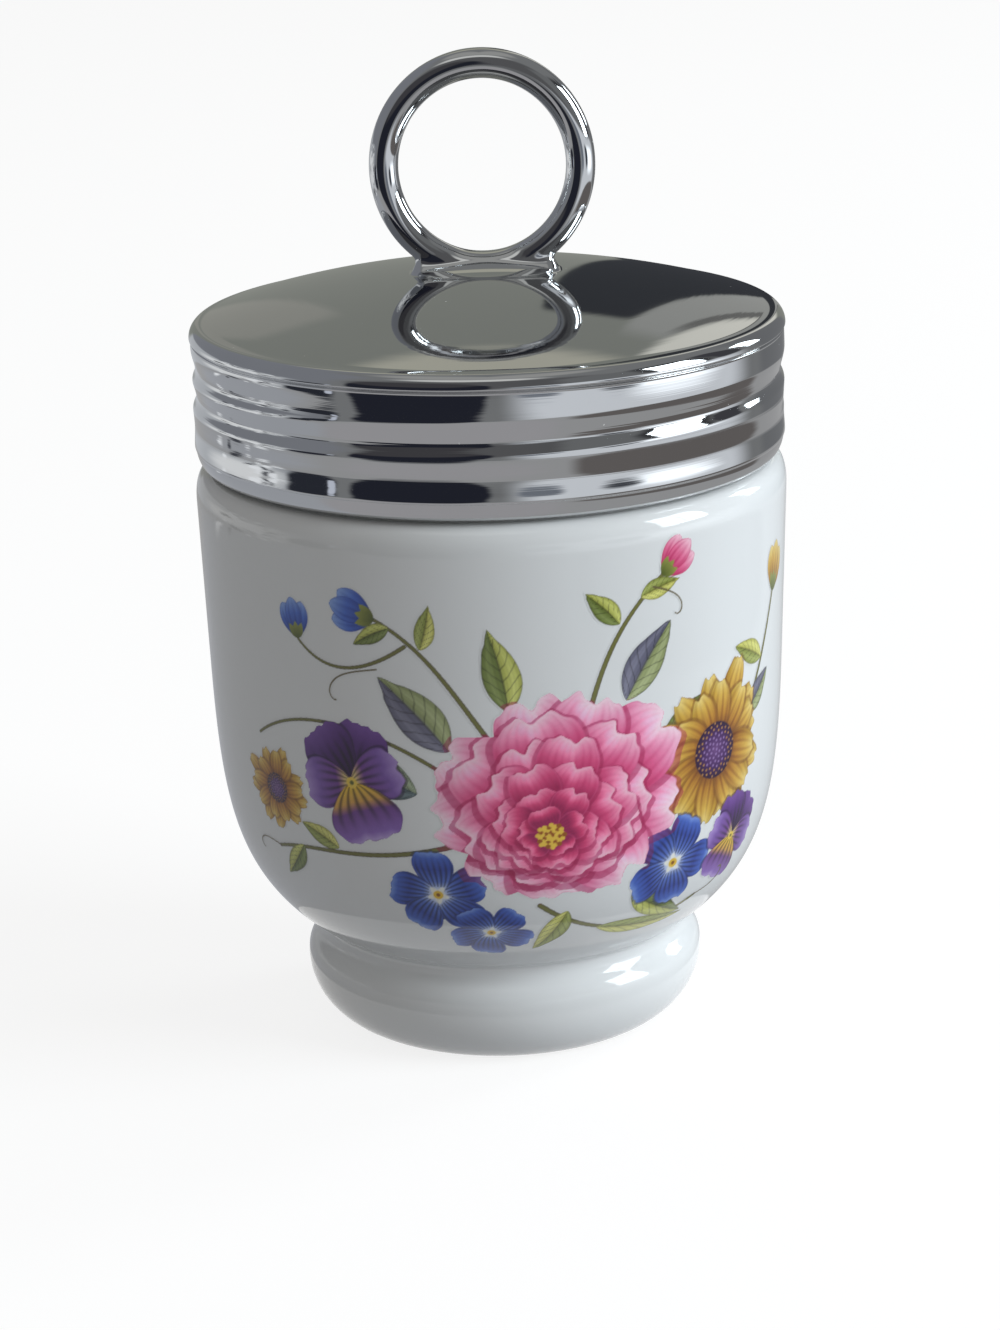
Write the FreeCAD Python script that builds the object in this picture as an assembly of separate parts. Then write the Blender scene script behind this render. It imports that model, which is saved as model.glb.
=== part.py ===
import FreeCAD, Part

import collections
import math
import os

# A porcelain egg coddler: a footed cup with a threaded neck, a screw cap with a rolled
# helical thread, a soft washer between the two, and a finger ring soldered on the cap.
# Millimetres, +Z up. The origin is the centre of the foot, on the table. The plane of
# the finger ring is XZ.

V = FreeCAD.Vector
FULL_TURN = 2.0 * math.pi

# ---------------------------------------------------------------- porcelain cup, outside
foot_radius = 20.6              # widest radius of the foot
foot_bulge_height = 6.6         # height of the widest part of the foot
foot_tuck = 4.67                # how far the rounded foot draws in from there to the table
foot_wall = 3.0                 # width of the ring that the foot stands on
recess_depth = 3.0              # hollow under the foot
recess_corner = 1.2             # radius in the corner of that hollow
waist_inset = 1.4               # waist inside the foot's widest part
waist_rise = 3.7                # waist above the foot's widest part
crease_flare = 1.6              # crease under the bowl outside the waist
crease_rise = 1.6               # crease above the waist
bowl_start_angle = 51.5         # degrees from upright, of the bowl's side at the crease
bowl_low_reach = 8.7            # how far the curve keeps that direction
bowl_high_reach = 14.2          # how far it runs straight below the end of the bowl's curve
bowl_end_height = 38.0
belly_radius = 29.95            # widest radius, just under the shoulder
belly_height = 56.0
belly_swell = 0.6               # the side widens by this from the bowl's end to the belly
shoulder_drop = 3.4             # from the shoulder's top down to the belly
neck_height = 12.7              # shoulder to rim
rim_round = 0.9

# ---------------------------------------------------------------- porcelain cup, inside
neck_wall = 3.0
bowl_wall = 3.2                 # where the bowl is widest inside
floor_thickness = 4.0
cavity_curve_height = 31.0      # where the rounded inner floor meets the straight side
throat_drop = 9.0               # rim down to the start of the inner belly
throat_length = 12.0

# ---------------------------------------------------------------- screw thread
thread_pitch = 2.8
thread_turn_drop = 4.05         # rim down to the cap's thread on the +X side
thread_overlap = 0.3            # porcelain crest past the cap's crest
thread_root_clearance = 0.35    # cap's crest to the neck
thread_fade_angle = 40.0        # each thread runs out over this angle
cap_thread_depth = 0.6          # inside, how far it stands in from the cap's wall
cap_thread_width = 2.8
cap_thread_foot_gap = 5.25      # cap's lower edge up to the start of its thread
cap_thread_head_gap = 2.5       # end of its thread up to the bead
neck_thread_width = 2.6
neck_thread_foot_gap = 2.8      # shoulder up to the start of the porcelain thread
neck_thread_head_gap = 2.7      # end of that thread up to the rim

# ---------------------------------------------------------------- cap
cap_inset = 0.1                 # cap's side inside the cup's belly
cap_wall = 1.2
cap_top_wall = 1.0
cap_edge_wall = 0.6             # above the washer's seat, where the dome meets the bead
cap_gap = 0.45                  # cap's lower edge above the shoulder
groove_depth = 0.4              # outside, where the thread is rolled in
hem_height = 1.7
hem_taper = 0.9
hem_crease = 0.12
bead_proud = 0.1                # rounded edge around the top, past the cap's side
bead_height = 1.5
bead_width = 1.25
crease_depth = 0.14
crease_height = 0.22
dome_rise = 4.45
seat_overhang = 0.25            # flat that presses on the washer, in past the cup's bore
seat_clearance = 0.1
thread_band_margin = 0.3        # plain wall above and below each threaded band

# ---------------------------------------------------------------- washer
washer_thickness = 1.2
washer_inner_clearance = 0.2    # washer stands back from the cup's bore
washer_outer_clearance = 0.35   # and from the cap's wall

# ---------------------------------------------------------------- finger ring and solder
ring_height_outside = 23.3      # across the ring, upright
ring_width_outside = 22.5       # across the ring, level
ring_wire = 3.02                # diameter of the wire
ring_sink = 1.32                # flattened into the dome at its foot
solder_end_reach = 2.1          # solder past the ring's foot, in the ring's plane
solder_side_reach = 0.84        # and to each side of its wire
solder_height = 0.85
solder_end_slope = 1.0          # the mound draws in by this at its top, in the ring's plane
solder_side_slope = 0.8         # and across it

# ---------------------------------------------------------------- derived sizes of the cup
foot_bulge_radius = (foot_bulge_height ** 2 + foot_tuck ** 2) / (2.0 * foot_tuck)
stand_outer = foot_radius - foot_tuck
stand_inner = stand_outer - foot_wall
waist_radius = foot_radius - waist_inset
waist_height = foot_bulge_height + waist_rise
bowl_start_radius = waist_radius + crease_flare
bowl_start_height = waist_height + crease_rise
bowl_end_radius = belly_radius - belly_swell
shoulder_height = belly_height + shoulder_drop
rim_height = shoulder_height + neck_height

# ---------------------------------------------------------------- derived sizes of the cap
cap_radius = belly_radius - cap_inset
cap_inner_radius = cap_radius - cap_wall
cap_bottom = shoulder_height + cap_gap
washer_top = rim_height + washer_thickness
seat_height = washer_top + seat_clearance
bead_radius = cap_radius + bead_proud
dome_edge_radius = bead_radius - bead_width
dome_edge_height = seat_height + cap_edge_wall
bead_foot = dome_edge_height - bead_height
cap_top = dome_edge_height + dome_rise
dome_radius = (dome_edge_radius ** 2 + dome_rise ** 2) / (2.0 * dome_rise)
dome_centre = cap_top - dome_radius

# ---------------------------------------------------------------- derived sizes of the fit
cap_thread_crest_radius = cap_inner_radius - cap_thread_depth
neck_radius = cap_thread_crest_radius - thread_root_clearance
neck_crest_radius = cap_thread_crest_radius + thread_overlap
bore_radius = neck_radius - neck_wall
seat_inner = bore_radius - seat_overhang
cavity_radius = bowl_end_radius - bowl_wall
cavity_floor = recess_depth + floor_thickness
thread_turn_height = rim_height - thread_turn_drop

# ---------------------------------------------------------------- derived sizes of the ring
ring_outer_radius = ring_height_outside / 2.0
ring_mean_radius = ring_outer_radius - ring_wire / 2.0
ring_squeeze = ring_width_outside / ring_height_outside
ring_centre = cap_top - ring_sink + ring_outer_radius
ring_foot_half = ring_squeeze * math.sqrt(ring_outer_radius ** 2 - (ring_outer_radius - ring_sink) ** 2)
solder_half_length = ring_foot_half + solder_end_reach
solder_half_width = ring_wire / 2.0 + solder_side_reach

# A thread's centre line climbs from start to end; offset shifts it up from the cap's.
Thread = collections.namedtuple("Thread", "start end offset width")
cap_thread = Thread(cap_bottom + cap_thread_foot_gap, bead_foot - cap_thread_head_gap,
                    0.0, cap_thread_width)
neck_thread = Thread(shoulder_height + neck_thread_foot_gap, rim_height - neck_thread_head_gap,
                     thread_pitch / 2.0, neck_thread_width)

# ---------------------------------------------------------------- resolution of curved bands
BAND_COLUMNS = 144
BAND_ROW_STEP = 0.3


def point(radius, height):
    """A point of a turned profile."""
    return V(radius, 0.0, height)


def line(a, b):
    return Part.makeLine(point(*a), point(*b))


def bezier(*poles):
    curve = Part.BezierCurve()
    curve.setPoles([point(*pole) for pole in poles])
    return curve.toShape()


def arc(a, middle, b):
    return Part.Arc(point(*a), point(*middle), point(*b)).toShape()


def turned_faces(edges):
    """The faces that a chain of profile edges sweeps about Z."""
    wire = Part.Wire(edges)
    return wire.revolve(V(0, 0, 0), V(0, 0, 1), 360.0).Faces


def sew(faces, name):
    """One solid from faces that meet edge to edge."""
    shape = Part.makeCompound(faces)
    shape.sewShape(0.001)
    shells = shape.Shells
    if len(shells) != 1 or not shells[0].isClosed():
        raise RuntimeError(name + " does not close")
    solid = Part.Solid(shells[0])
    if solid.Volume < 0.0:
        solid = Part.Solid(shells[0].reversed())
    return solid


def smooth_step(t):
    t = min(1.0, max(0.0, t))
    return t * t * (3.0 - 2.0 * t)


def wound_angle(thread, height):
    """Degrees counted on through the turns, at which a thread's centre line is this high."""
    return 360.0 * (height - thread.offset - thread_turn_height) / thread_pitch


def thread_section(thread, distance):
    """Rounded section of a thread, from 0 to 1, at a distance above or below its centre line."""
    if abs(distance) > thread.width / 2.0:
        return 0.0
    return math.cos(math.pi * distance / thread.width) ** 2


def thread_rise(thread, angle, height):
    """How much of a thread stands at this spot on the wall, over every turn that passes it."""
    first = wound_angle(thread, thread.start)
    last = wound_angle(thread, thread.end)
    rise = 0.0
    wound = angle + 360.0 * math.ceil((first - angle) / 360.0)
    while wound <= last:
        ends = smooth_step((wound - first) / thread_fade_angle)
        ends *= smooth_step((last - wound) / thread_fade_angle)
        centre = thread_turn_height + thread.offset + thread_pitch * wound / 360.0
        rise += ends * thread_section(thread, height - centre)
        wound += 360.0
    return rise


def spline_through(points, closed):
    """A cubic spline that passes evenly timed points, with its poles, knots and multiplicities."""
    count = len(points) + 1 if closed else len(points)
    times = [float(index) for index in range(count)]
    curve = Part.BSplineCurve()
    curve.interpolate(Points=points, PeriodicFlag=closed, Parameters=times)
    return curve


def band_face(low, high, radius_at):
    """A smooth closed wall from low to high whose radius varies with angle and height."""
    rows = max(8, int(round((high - low) / BAND_ROW_STEP)))
    hoops = []
    for row in range(rows + 1):
        height = low + (high - low) * row / rows
        points = []
        for column in range(BAND_COLUMNS):
            angle = 360.0 * column / BAND_COLUMNS
            radius = radius_at(angle, height)
            turn = math.radians(angle)
            points.append(V(radius * math.cos(turn), radius * math.sin(turn), height))
        hoops.append(spline_through(points, True))
    poles = []
    for hoop_poles in zip(*[hoop.getPoles() for hoop in hoops]):
        upright = spline_through(list(hoop_poles), False)
        poles.append(upright.getPoles())
    surface = Part.BSplineSurface()
    surface.buildFromPolesMultsKnots(poles, hoops[0].getMultiplicities(), upright.getMultiplicities(),
                                     hoops[0].getKnots(), upright.getKnots(), True, False, 3, 3)
    return surface.toShape()


def thread_band(thread):
    """Lowest and highest point of the wall that a thread needs."""
    margin = thread.width / 2.0 + thread_band_margin
    return thread.start - margin, thread.end + margin


# ---------------------------------------------------------------- porcelain cup
def foot_profile():
    """From the middle of the recess to the crease under the bowl."""
    bulge_centre = foot_radius - foot_bulge_radius
    corner = recess_corner
    middle_angle = math.atan2(-foot_bulge_height, stand_outer - bulge_centre) / 2.0
    bulge_middle = (bulge_centre + foot_bulge_radius * math.cos(middle_angle),
                    foot_bulge_height + foot_bulge_radius * math.sin(middle_angle))
    slant = corner * math.sqrt(0.5)
    return [
        line((0.0, recess_depth), (stand_inner - corner, recess_depth)),
        arc((stand_inner - corner, recess_depth),
            (stand_inner - corner + slant, recess_depth - corner + slant),
            (stand_inner, recess_depth - corner)),
        line((stand_inner, recess_depth - corner), (stand_inner, 0.0)),
        line((stand_inner, 0.0), (stand_outer, 0.0)),
        arc((stand_outer, 0.0), bulge_middle, (foot_radius, foot_bulge_height)),
        bezier((foot_radius, foot_bulge_height),
               (foot_radius, foot_bulge_height + 0.6 * waist_rise),
               (waist_radius, waist_height - 0.45 * waist_rise),
               (waist_radius, waist_height)),
        bezier((waist_radius, waist_height),
               (waist_radius, waist_height + 0.55 * crease_rise),
               (bowl_start_radius - 0.5 * crease_flare, bowl_start_height - 0.4 * crease_rise),
               (bowl_start_radius, bowl_start_height)),
    ]


def bowl_profile():
    """From the crease up the side and over the shoulder to the neck."""
    lean = math.radians(bowl_start_angle)
    taper = belly_swell / (belly_height - bowl_end_height)
    low_pole = (bowl_start_radius + bowl_low_reach * math.sin(lean),
                bowl_start_height + bowl_low_reach * math.cos(lean))
    high_pole = (bowl_end_radius - bowl_high_reach * taper, bowl_end_height - bowl_high_reach)
    shoulder_reach = belly_radius - neck_radius
    return [
        bezier((bowl_start_radius, bowl_start_height), low_pole, high_pole,
               (bowl_end_radius, bowl_end_height)),
        line((bowl_end_radius, bowl_end_height), (belly_radius, belly_height)),
        bezier((belly_radius, belly_height),
               (belly_radius + 0.7 * shoulder_drop * taper, belly_height + 0.7 * shoulder_drop),
               (belly_radius - 0.3 * shoulder_reach, shoulder_height),
               (neck_radius, shoulder_height)),
    ]


def cavity_profile(neck_top):
    """From the top of the thread over the rim and down the inside to its floor."""
    rim_outer = neck_radius - rim_round
    rim_inner = bore_radius + rim_round
    slant = rim_round * (1.0 - math.sqrt(0.5))
    throat_start = rim_height - throat_drop
    throat_end = throat_start - throat_length
    round_pull = 0.5523
    curve = cavity_curve_height - cavity_floor
    return [
        line((neck_radius, neck_top), (neck_radius, rim_height - rim_round)),
        arc((neck_radius, rim_height - rim_round),
            (neck_radius - slant, rim_height - slant),
            (rim_outer, rim_height)),
        line((rim_outer, rim_height), (rim_inner, rim_height)),
        arc((rim_inner, rim_height),
            (bore_radius + slant, rim_height - slant),
            (bore_radius, rim_height - rim_round)),
        line((bore_radius, rim_height - rim_round), (bore_radius, throat_start)),
        bezier((bore_radius, throat_start),
               (bore_radius, throat_start - 0.5 * throat_length),
               (cavity_radius, throat_end + 0.5 * throat_length),
               (cavity_radius, throat_end)),
        line((cavity_radius, throat_end), (cavity_radius, cavity_curve_height)),
        bezier((cavity_radius, cavity_curve_height),
               (cavity_radius, cavity_curve_height - round_pull * curve),
               (round_pull * cavity_radius, cavity_floor),
               (0.0, cavity_floor)),
    ]


def make_cup():
    low, high = thread_band(neck_thread)
    crest = neck_crest_radius - neck_radius

    def threaded_radius(angle, height):
        return neck_radius + crest * thread_rise(neck_thread, angle, height)

    outside = foot_profile() + bowl_profile()
    outside.append(line((neck_radius, shoulder_height), (neck_radius, low)))
    faces = turned_faces(outside)
    faces.append(band_face(low, high, threaded_radius))
    faces += turned_faces(cavity_profile(high))
    return sew(faces, "porcelain_cup")


# ---------------------------------------------------------------- cap
def dome_height(radius, offset=0.0):
    """Height of the dome's outer face, or of a face inside it."""
    return dome_centre + math.sqrt((dome_radius - offset) ** 2 - radius ** 2)


def cap_lower_profile(band_low):
    """From the outside of the threaded band, under the hem, to the inside."""
    hem_top = cap_bottom + hem_height
    lip_radius = cap_radius - hem_taper
    return [
        line((cap_radius, band_low), (cap_radius, hem_top + hem_crease)),
        line((cap_radius, hem_top + hem_crease), (cap_radius - hem_crease, hem_top)),
        bezier((cap_radius - hem_crease, hem_top),
               (cap_radius - 0.15 * hem_taper, cap_bottom + 0.5 * hem_height),
               (lip_radius + 0.35 * hem_taper, cap_bottom),
               (lip_radius, cap_bottom)),
        line((lip_radius, cap_bottom), (cap_inner_radius, cap_bottom)),
        line((cap_inner_radius, cap_bottom), (cap_inner_radius, band_low)),
    ]


def cap_upper_profile(band_high):
    """From the outside of the threaded band over the bead to the top of the dome."""
    crease_top = bead_foot
    crease_middle = bead_foot - crease_height / 2.0
    crease_bottom = bead_foot - crease_height
    half_radius = dome_edge_radius / 2.0
    return [
        line((cap_radius, band_high), (cap_radius, crease_bottom)),
        line((cap_radius, crease_bottom), (cap_radius - crease_depth, crease_middle)),
        line((cap_radius - crease_depth, crease_middle), (bead_radius, crease_top)),
        bezier((bead_radius, crease_top),
               (bead_radius, crease_top + 0.6 * bead_height),
               (dome_edge_radius + 0.5 * bead_width, dome_edge_height + 0.02 * bead_height),
               (dome_edge_radius, dome_edge_height)),
        arc((dome_edge_radius, dome_edge_height),
            (half_radius, dome_height(half_radius)),
            (0.0, cap_top)),
    ]


def cap_inner_profile(band_high):
    """From the inside of the threaded band across the washer's seat to the middle."""
    seat_step = dome_height(seat_inner, cap_top_wall)
    half_radius = seat_inner / 2.0
    return [
        line((cap_inner_radius, band_high), (cap_inner_radius, seat_height)),
        line((cap_inner_radius, seat_height), (seat_inner, seat_height)),
        line((seat_inner, seat_height), (seat_inner, seat_step)),
        arc((seat_inner, seat_step),
            (half_radius, dome_height(half_radius, cap_top_wall)),
            (0.0, cap_top - cap_top_wall)),
    ]


def make_cap():
    low, high = thread_band(cap_thread)

    def outer_radius(angle, height):
        return cap_radius - groove_depth * thread_rise(cap_thread, angle, height)

    def inner_radius(angle, height):
        return cap_inner_radius - cap_thread_depth * thread_rise(cap_thread, angle, height)

    faces = turned_faces(cap_lower_profile(low))
    faces.append(band_face(low, high, outer_radius))
    faces.append(band_face(low, high, inner_radius))
    faces += turned_faces(cap_upper_profile(high))
    faces += turned_faces(cap_inner_profile(high))
    return sew(faces, "lid_cap")


# ---------------------------------------------------------------- washer
def make_washer():
    outer = cap_inner_radius - washer_outer_clearance
    inner = bore_radius + washer_inner_clearance
    ring = Part.makeCylinder(outer, washer_thickness, point(0.0, rim_height))
    return ring.cut(Part.makeCylinder(inner, washer_thickness, point(0.0, rim_height)))


# ---------------------------------------------------------------- finger ring and solder
def dome_solid():
    """Everything below the dome's outer face, near the ring's foot."""
    ball = Part.makeSphere(dome_radius, point(0.0, dome_centre))
    size = 2.0 * ring_outer_radius
    box = Part.makeBox(size, size, size, V(-size / 2.0, -size / 2.0, cap_top - size / 2.0))
    return ball.common(box)


def ring_solid():
    """The ring before its foot is flattened."""
    ring = Part.makeTorus(ring_mean_radius, ring_wire / 2.0, V(0, 0, 0), V(0, 1, 0))
    squeeze = FreeCAD.Matrix()
    squeeze.A11 = ring_squeeze
    ring = ring.transformGeometry(squeeze)
    ring.translate(V(0, 0, ring_centre))
    return ring


def make_ring():
    return ring_solid().cut(dome_solid()).Solids[0]


def ellipse_wire(half_length, half_width, height):
    ellipse = Part.Ellipse(V(0, 0, height), half_length, half_width)
    return Part.Wire([ellipse.toShape()])


def make_solder():
    foot_height = dome_height(solder_half_length)
    top_half_length = solder_half_length - solder_end_slope
    top_half_width = solder_half_width - solder_side_slope
    low = ellipse_wire(solder_half_length, solder_half_width, foot_height - solder_height)
    foot = ellipse_wire(solder_half_length, solder_half_width, foot_height)
    top = ellipse_wire(top_half_length, top_half_width, cap_top + solder_height)
    skirt = Part.makeLoft([low, foot], True, True)
    slope = Part.makeLoft([foot, top], True, True)
    collar = skirt.fuse(slope).cut(dome_solid()).cut(ring_solid())
    return max(collar.Solids, key=lambda solid: solid.Volume)


def main():
    os.makedirs("parts", exist_ok=True)
    nodes = {
        "porcelain_cup": make_cup(),
        "lid_cap": make_cap(),
        "sealing_washer": make_washer(),
        "finger_ring": make_ring(),
        "ring_solder": make_solder(),
    }
    for name, shape in nodes.items():
        box = shape.BoundBox
        print(name, "valid", shape.isValid(), "solids", len(shape.Solids),
              "volume %.1f" % shape.Volume, "z %.2f to %.2f" % (box.ZMin, box.ZMax))
        shape.exportStep("parts/" + name + ".step")


main()
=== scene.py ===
"""Looks of a porcelain egg coddler: glazed cup with a printed flower spray, chrome-plated
screw lid and finger ring. Lengths are millimetres until a mesh is made, then metres."""

import math

import bpy
import numpy as np
from mathutils import Matrix, Vector


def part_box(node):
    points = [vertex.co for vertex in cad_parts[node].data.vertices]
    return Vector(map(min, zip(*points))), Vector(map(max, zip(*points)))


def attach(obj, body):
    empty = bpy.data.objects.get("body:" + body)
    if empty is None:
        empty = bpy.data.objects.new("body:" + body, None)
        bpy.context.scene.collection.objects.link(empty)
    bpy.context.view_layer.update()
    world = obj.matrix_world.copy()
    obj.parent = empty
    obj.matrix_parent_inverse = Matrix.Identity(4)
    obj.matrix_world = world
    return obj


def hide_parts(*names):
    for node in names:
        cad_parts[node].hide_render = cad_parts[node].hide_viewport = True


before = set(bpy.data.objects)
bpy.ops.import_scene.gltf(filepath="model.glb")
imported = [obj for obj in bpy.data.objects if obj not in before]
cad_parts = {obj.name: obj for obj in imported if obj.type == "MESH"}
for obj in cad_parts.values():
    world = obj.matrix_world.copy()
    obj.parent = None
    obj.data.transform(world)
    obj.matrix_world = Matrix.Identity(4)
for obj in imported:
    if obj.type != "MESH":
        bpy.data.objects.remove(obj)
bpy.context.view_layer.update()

MM = 0.001
FULL_TURN = 2.0 * math.pi


def node_box(node):
    """Lowest and highest corner of a CAD node, in millimetres."""
    low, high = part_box(node)
    return np.array(low) / MM, np.array(high) / MM


cup_low, cup_high = node_box("porcelain_cup")
lid_low, lid_high = node_box("lid_cap")
ring_low, ring_high = node_box("finger_ring")

# ---- cup
BELLY_RADIUS = cup_high[0]
RIM_HEIGHT = cup_high[2]
NECK_HEIGHT = 12.7
SHOULDER_HEIGHT = RIM_HEIGHT - NECK_HEIGHT
SHOULDER_DROP = 3.4
BELLY_HEIGHT = SHOULDER_HEIGHT - SHOULDER_DROP
BOWL_END_RADIUS = BELLY_RADIUS - 0.6
BOWL_END_HEIGHT = 38.0
BOWL_LEAN = math.radians(51.5)  # from upright, where the bowl leaves the crease
BOWL_LOW_PULL = 8.7             # handles of the bowl's curve at its two ends
BOWL_HIGH_PULL = 14.2
BOWL_ROWS = 56                  # rows of points on that curve
CREASE = (20.8, 11.9)           # radius and height where bowl and foot meet
WAIST = (19.2, 10.3)
FOOT_BULGE = (20.6, 6.6)
FOOT_BULGE_SECTION = 7.0
STAND_OUTER = 15.93
STAND_WIDTH = 3.0
STAND_ROUND = 0.25              # of the standing ring's inner edge
STAND_BEVEL = 0.1               # of its outer edge
RECESS_DEPTH = 3.0
RECESS_CORNER = 1.2
NECK_RADIUS = 27.7
NECK_THREAD_DEPTH = 0.65
RIM_ROUND = 0.9
BORE_RADIUS = 24.7
CAVITY_RADIUS = 26.15
CAVITY_FLOOR = 7.0
CAVITY_CURVE_HEIGHT = 31.0
THROAT = (63.1, 51.1)

# ---- lid
CAP_BOTTOM = lid_low[2]
CAP_TOP = lid_high[2]
BEAD_RADIUS = lid_high[0]
CAP_RADIUS = BEAD_RADIUS - 0.1
CAP_INNER_RADIUS = CAP_RADIUS - 1.2
GROOVE_DEPTH = 0.4
GROOVE_ABOVE = 2.3              # reach of the rolled groove above and below its middle
GROOVE_BELOW = 1.25
DIP_DEPTH = 0.10                # faint roll mark above the hem
DIP_HEIGHT = 63.7
DIP_WIDTH = 4.4
BROW_DEPTH = 0.06               # the wall's slight lean inwards under the bead
BROW_HEIGHT = 70.0
HEM_HEIGHT = 1.7
HEM_TAPER = 0.9
HEM_CREASE = 0.12
BEAD_HEIGHT = 1.5
BEAD_WIDTH = 1.25
CREASE_DEPTH = 0.14
CREASE_HEIGHT = 0.22
DOME_RISE = 4.45
CAP_TOP_WALL = 1.0
SEAT_HEIGHT = 73.4
SEAT_INNER = 24.45
DOME_EDGE_RADIUS = BEAD_RADIUS - BEAD_WIDTH
DOME_EDGE_HEIGHT = CAP_TOP - DOME_RISE
BEAD_FOOT = DOME_EDGE_HEIGHT - BEAD_HEIGHT
DOME_RADIUS = (DOME_EDGE_RADIUS ** 2 + DOME_RISE ** 2) / (2.0 * DOME_RISE)
DOME_CENTRE = CAP_TOP - DOME_RADIUS

# ---- screw thread
THREAD_PITCH = 2.8
THREAD_TURN_HEIGHT = RIM_HEIGHT - 4.05
THREAD_FADE = 40.0
CAP_THREAD = {"start": 65.1, "end": 70.0, "offset": 0.0, "reach": (1.4, 1.4)}
CAP_GROOVE = {"start": 65.1, "end": 70.0, "offset": 0.0, "reach": (GROOVE_BELOW, GROOVE_ABOVE)}
NECK_THREAD = {"start": 62.2, "end": 69.4, "offset": THREAD_PITCH / 2.0, "reach": (1.3, 1.3)}
CAP_THREAD_DEPTH = 0.6

# ---- finger ring
RING_WIRE_RADIUS = 1.51
RING_OUTER_RADIUS = 11.65
RING_CENTRE = ring_high[2] - RING_OUTER_RADIUS
RING_SQUEEZE = 22.5 / 23.3
SOLDER_HALF_LENGTH = 7.05       # the solder block under the ring
SOLDER_HALF_WIDTH = 1.62
SOLDER_HEIGHT = 1.05            # above the top of the dome
SOLDER_DEPTH = 3.0              # of the block's middle under that top
SOLDER_ROUND = 0.9
SOLDER_BLEND = 0.9              # between the block and the ring
FILLET_HEIGHT = 1.1             # of the meniscus between solder and dome
FILLET_REACH = 3.2              # before and behind the block
FILLET_END_REACH = 0.6
FILLET_OVERRUN = 0.55           # past the block's ends, where the long reach has died away
RING_CELL = 0.11                # of the net that is drawn onto the foot
NET_MARGIN = 0.4                # of that net round the fillet
NET_LOW = 1.6                   # its bottom under the top of the dome
NET_HIGH = 4.9                  # its top under the ring's centre
RING_FOOT_ANGLE = 52.0          # degrees from the bottom up to which the foot's net reaches


# ==== curves and meshes
def line(a, b, count):
    share = np.linspace(0.0, 1.0, count + 1)[1:, None]
    return np.array(a) * (1.0 - share) + np.array(b) * share


def bezier(a, b, c, d, count):
    share = np.linspace(0.0, 1.0, count + 1)[1:, None]
    rest = 1.0 - share
    return (rest ** 3 * np.array(a) + 3.0 * rest ** 2 * share * np.array(b)
            + 3.0 * rest * share ** 2 * np.array(c) + share ** 3 * np.array(d))


def arc(centre, radius, start, end, count):
    """Points on an arc between two angles in degrees, without its first."""
    angle = np.radians(np.linspace(start, end, count + 1)[1:])
    return np.stack([centre[0] + radius * np.cos(angle), centre[1] + radius * np.sin(angle)], 1)


def outline(start, *parts):
    """Points from a start along parts. A part is (end, count) for a line, (pole, pole, end,
    count) for a curve, or an array of its own points."""
    rows = [np.array([start], float)]
    for part in parts:
        if isinstance(part, tuple):
            *poles, count = part
            draw = line if len(poles) == 1 else bezier
            part = draw(rows[-1][-1], *poles, count)
        rows.append(part)
    return np.concatenate(rows)


def smooth_step(value):
    value = np.clip(value, 0.0, 1.0)
    return value * value * (3.0 - 2.0 * value)


def thread_rise(thread, angle, height):
    """From 0 to 1, how much of a thread stands at angles in degrees and heights. Its reach is
    given below and above its middle."""
    below, above = thread["reach"]
    first, last = (360.0 * (level - thread["offset"] - THREAD_TURN_HEIGHT) / THREAD_PITCH
                   for level in (thread["start"], thread["end"]))
    rise = np.zeros(np.broadcast(angle, height).shape)
    for turn in range(math.floor(first / 360.0), math.ceil(last / 360.0) + 1):
        wound = angle + 360.0 * turn
        ends = smooth_step((wound - first) / THREAD_FADE) * smooth_step((last - wound) / THREAD_FADE)
        centre = THREAD_TURN_HEIGHT + thread["offset"] + THREAD_PITCH * wound / 360.0
        distance = (height - centre) / np.where(height > centre, above, below)
        rise = rise + ends * np.cos(math.pi / 2.0 * np.clip(distance, -1.0, 1.0)) ** 2
    return rise


def new_object(name, data):
    holder = bpy.data.objects.new(name, data)
    bpy.context.scene.collection.objects.link(holder)
    return holder


def new_mesh(name, points, quads, triangles=None, normals=None):
    """A smooth-shaded mesh object from points in millimetres."""
    mesh = bpy.data.meshes.new(name)
    triangles = np.zeros((0, 3), int) if triangles is None else np.asarray(triangles)
    quads = np.asarray(quads).reshape(-1, 4)
    loops = np.concatenate([quads.ravel(), triangles.ravel()]).astype(np.int32)
    sizes = np.concatenate([np.full(len(quads), 4), np.full(len(triangles), 3)])
    starts = np.concatenate([[0], np.cumsum(sizes)[:-1]]).astype(np.int32)
    mesh.vertices.add(len(points))
    mesh.vertices.foreach_set("co", (np.asarray(points) * MM).astype(np.float32).ravel())
    mesh.loops.add(len(loops))
    mesh.loops.foreach_set("vertex_index", loops)
    mesh.polygons.add(len(sizes))
    mesh.polygons.foreach_set("loop_start", starts)
    mesh.update(calc_edges=True)
    mesh.validate()
    mesh.shade_smooth()
    if normals is not None:
        mesh.normals_split_custom_set_from_vertices(normals.tolist())
    return new_object(name, mesh)


def paint(piece, name, colour, cover):
    """Stores a colour and its cover on each point."""
    layer = piece.data.color_attributes.new(name, "FLOAT_COLOR", "POINT")
    layer.data.foreach_set("color", np.concatenate([colour, cover], 1).astype(np.float32).ravel())


def wrapped_quads(index):
    """Quads between rows of vertex numbers, each of which runs round to its start."""
    ahead = np.roll(index, -1, 1)
    return np.stack([index[:-1], ahead[:-1], ahead[1:], index[1:]], -1).reshape(-1, 4)


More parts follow.
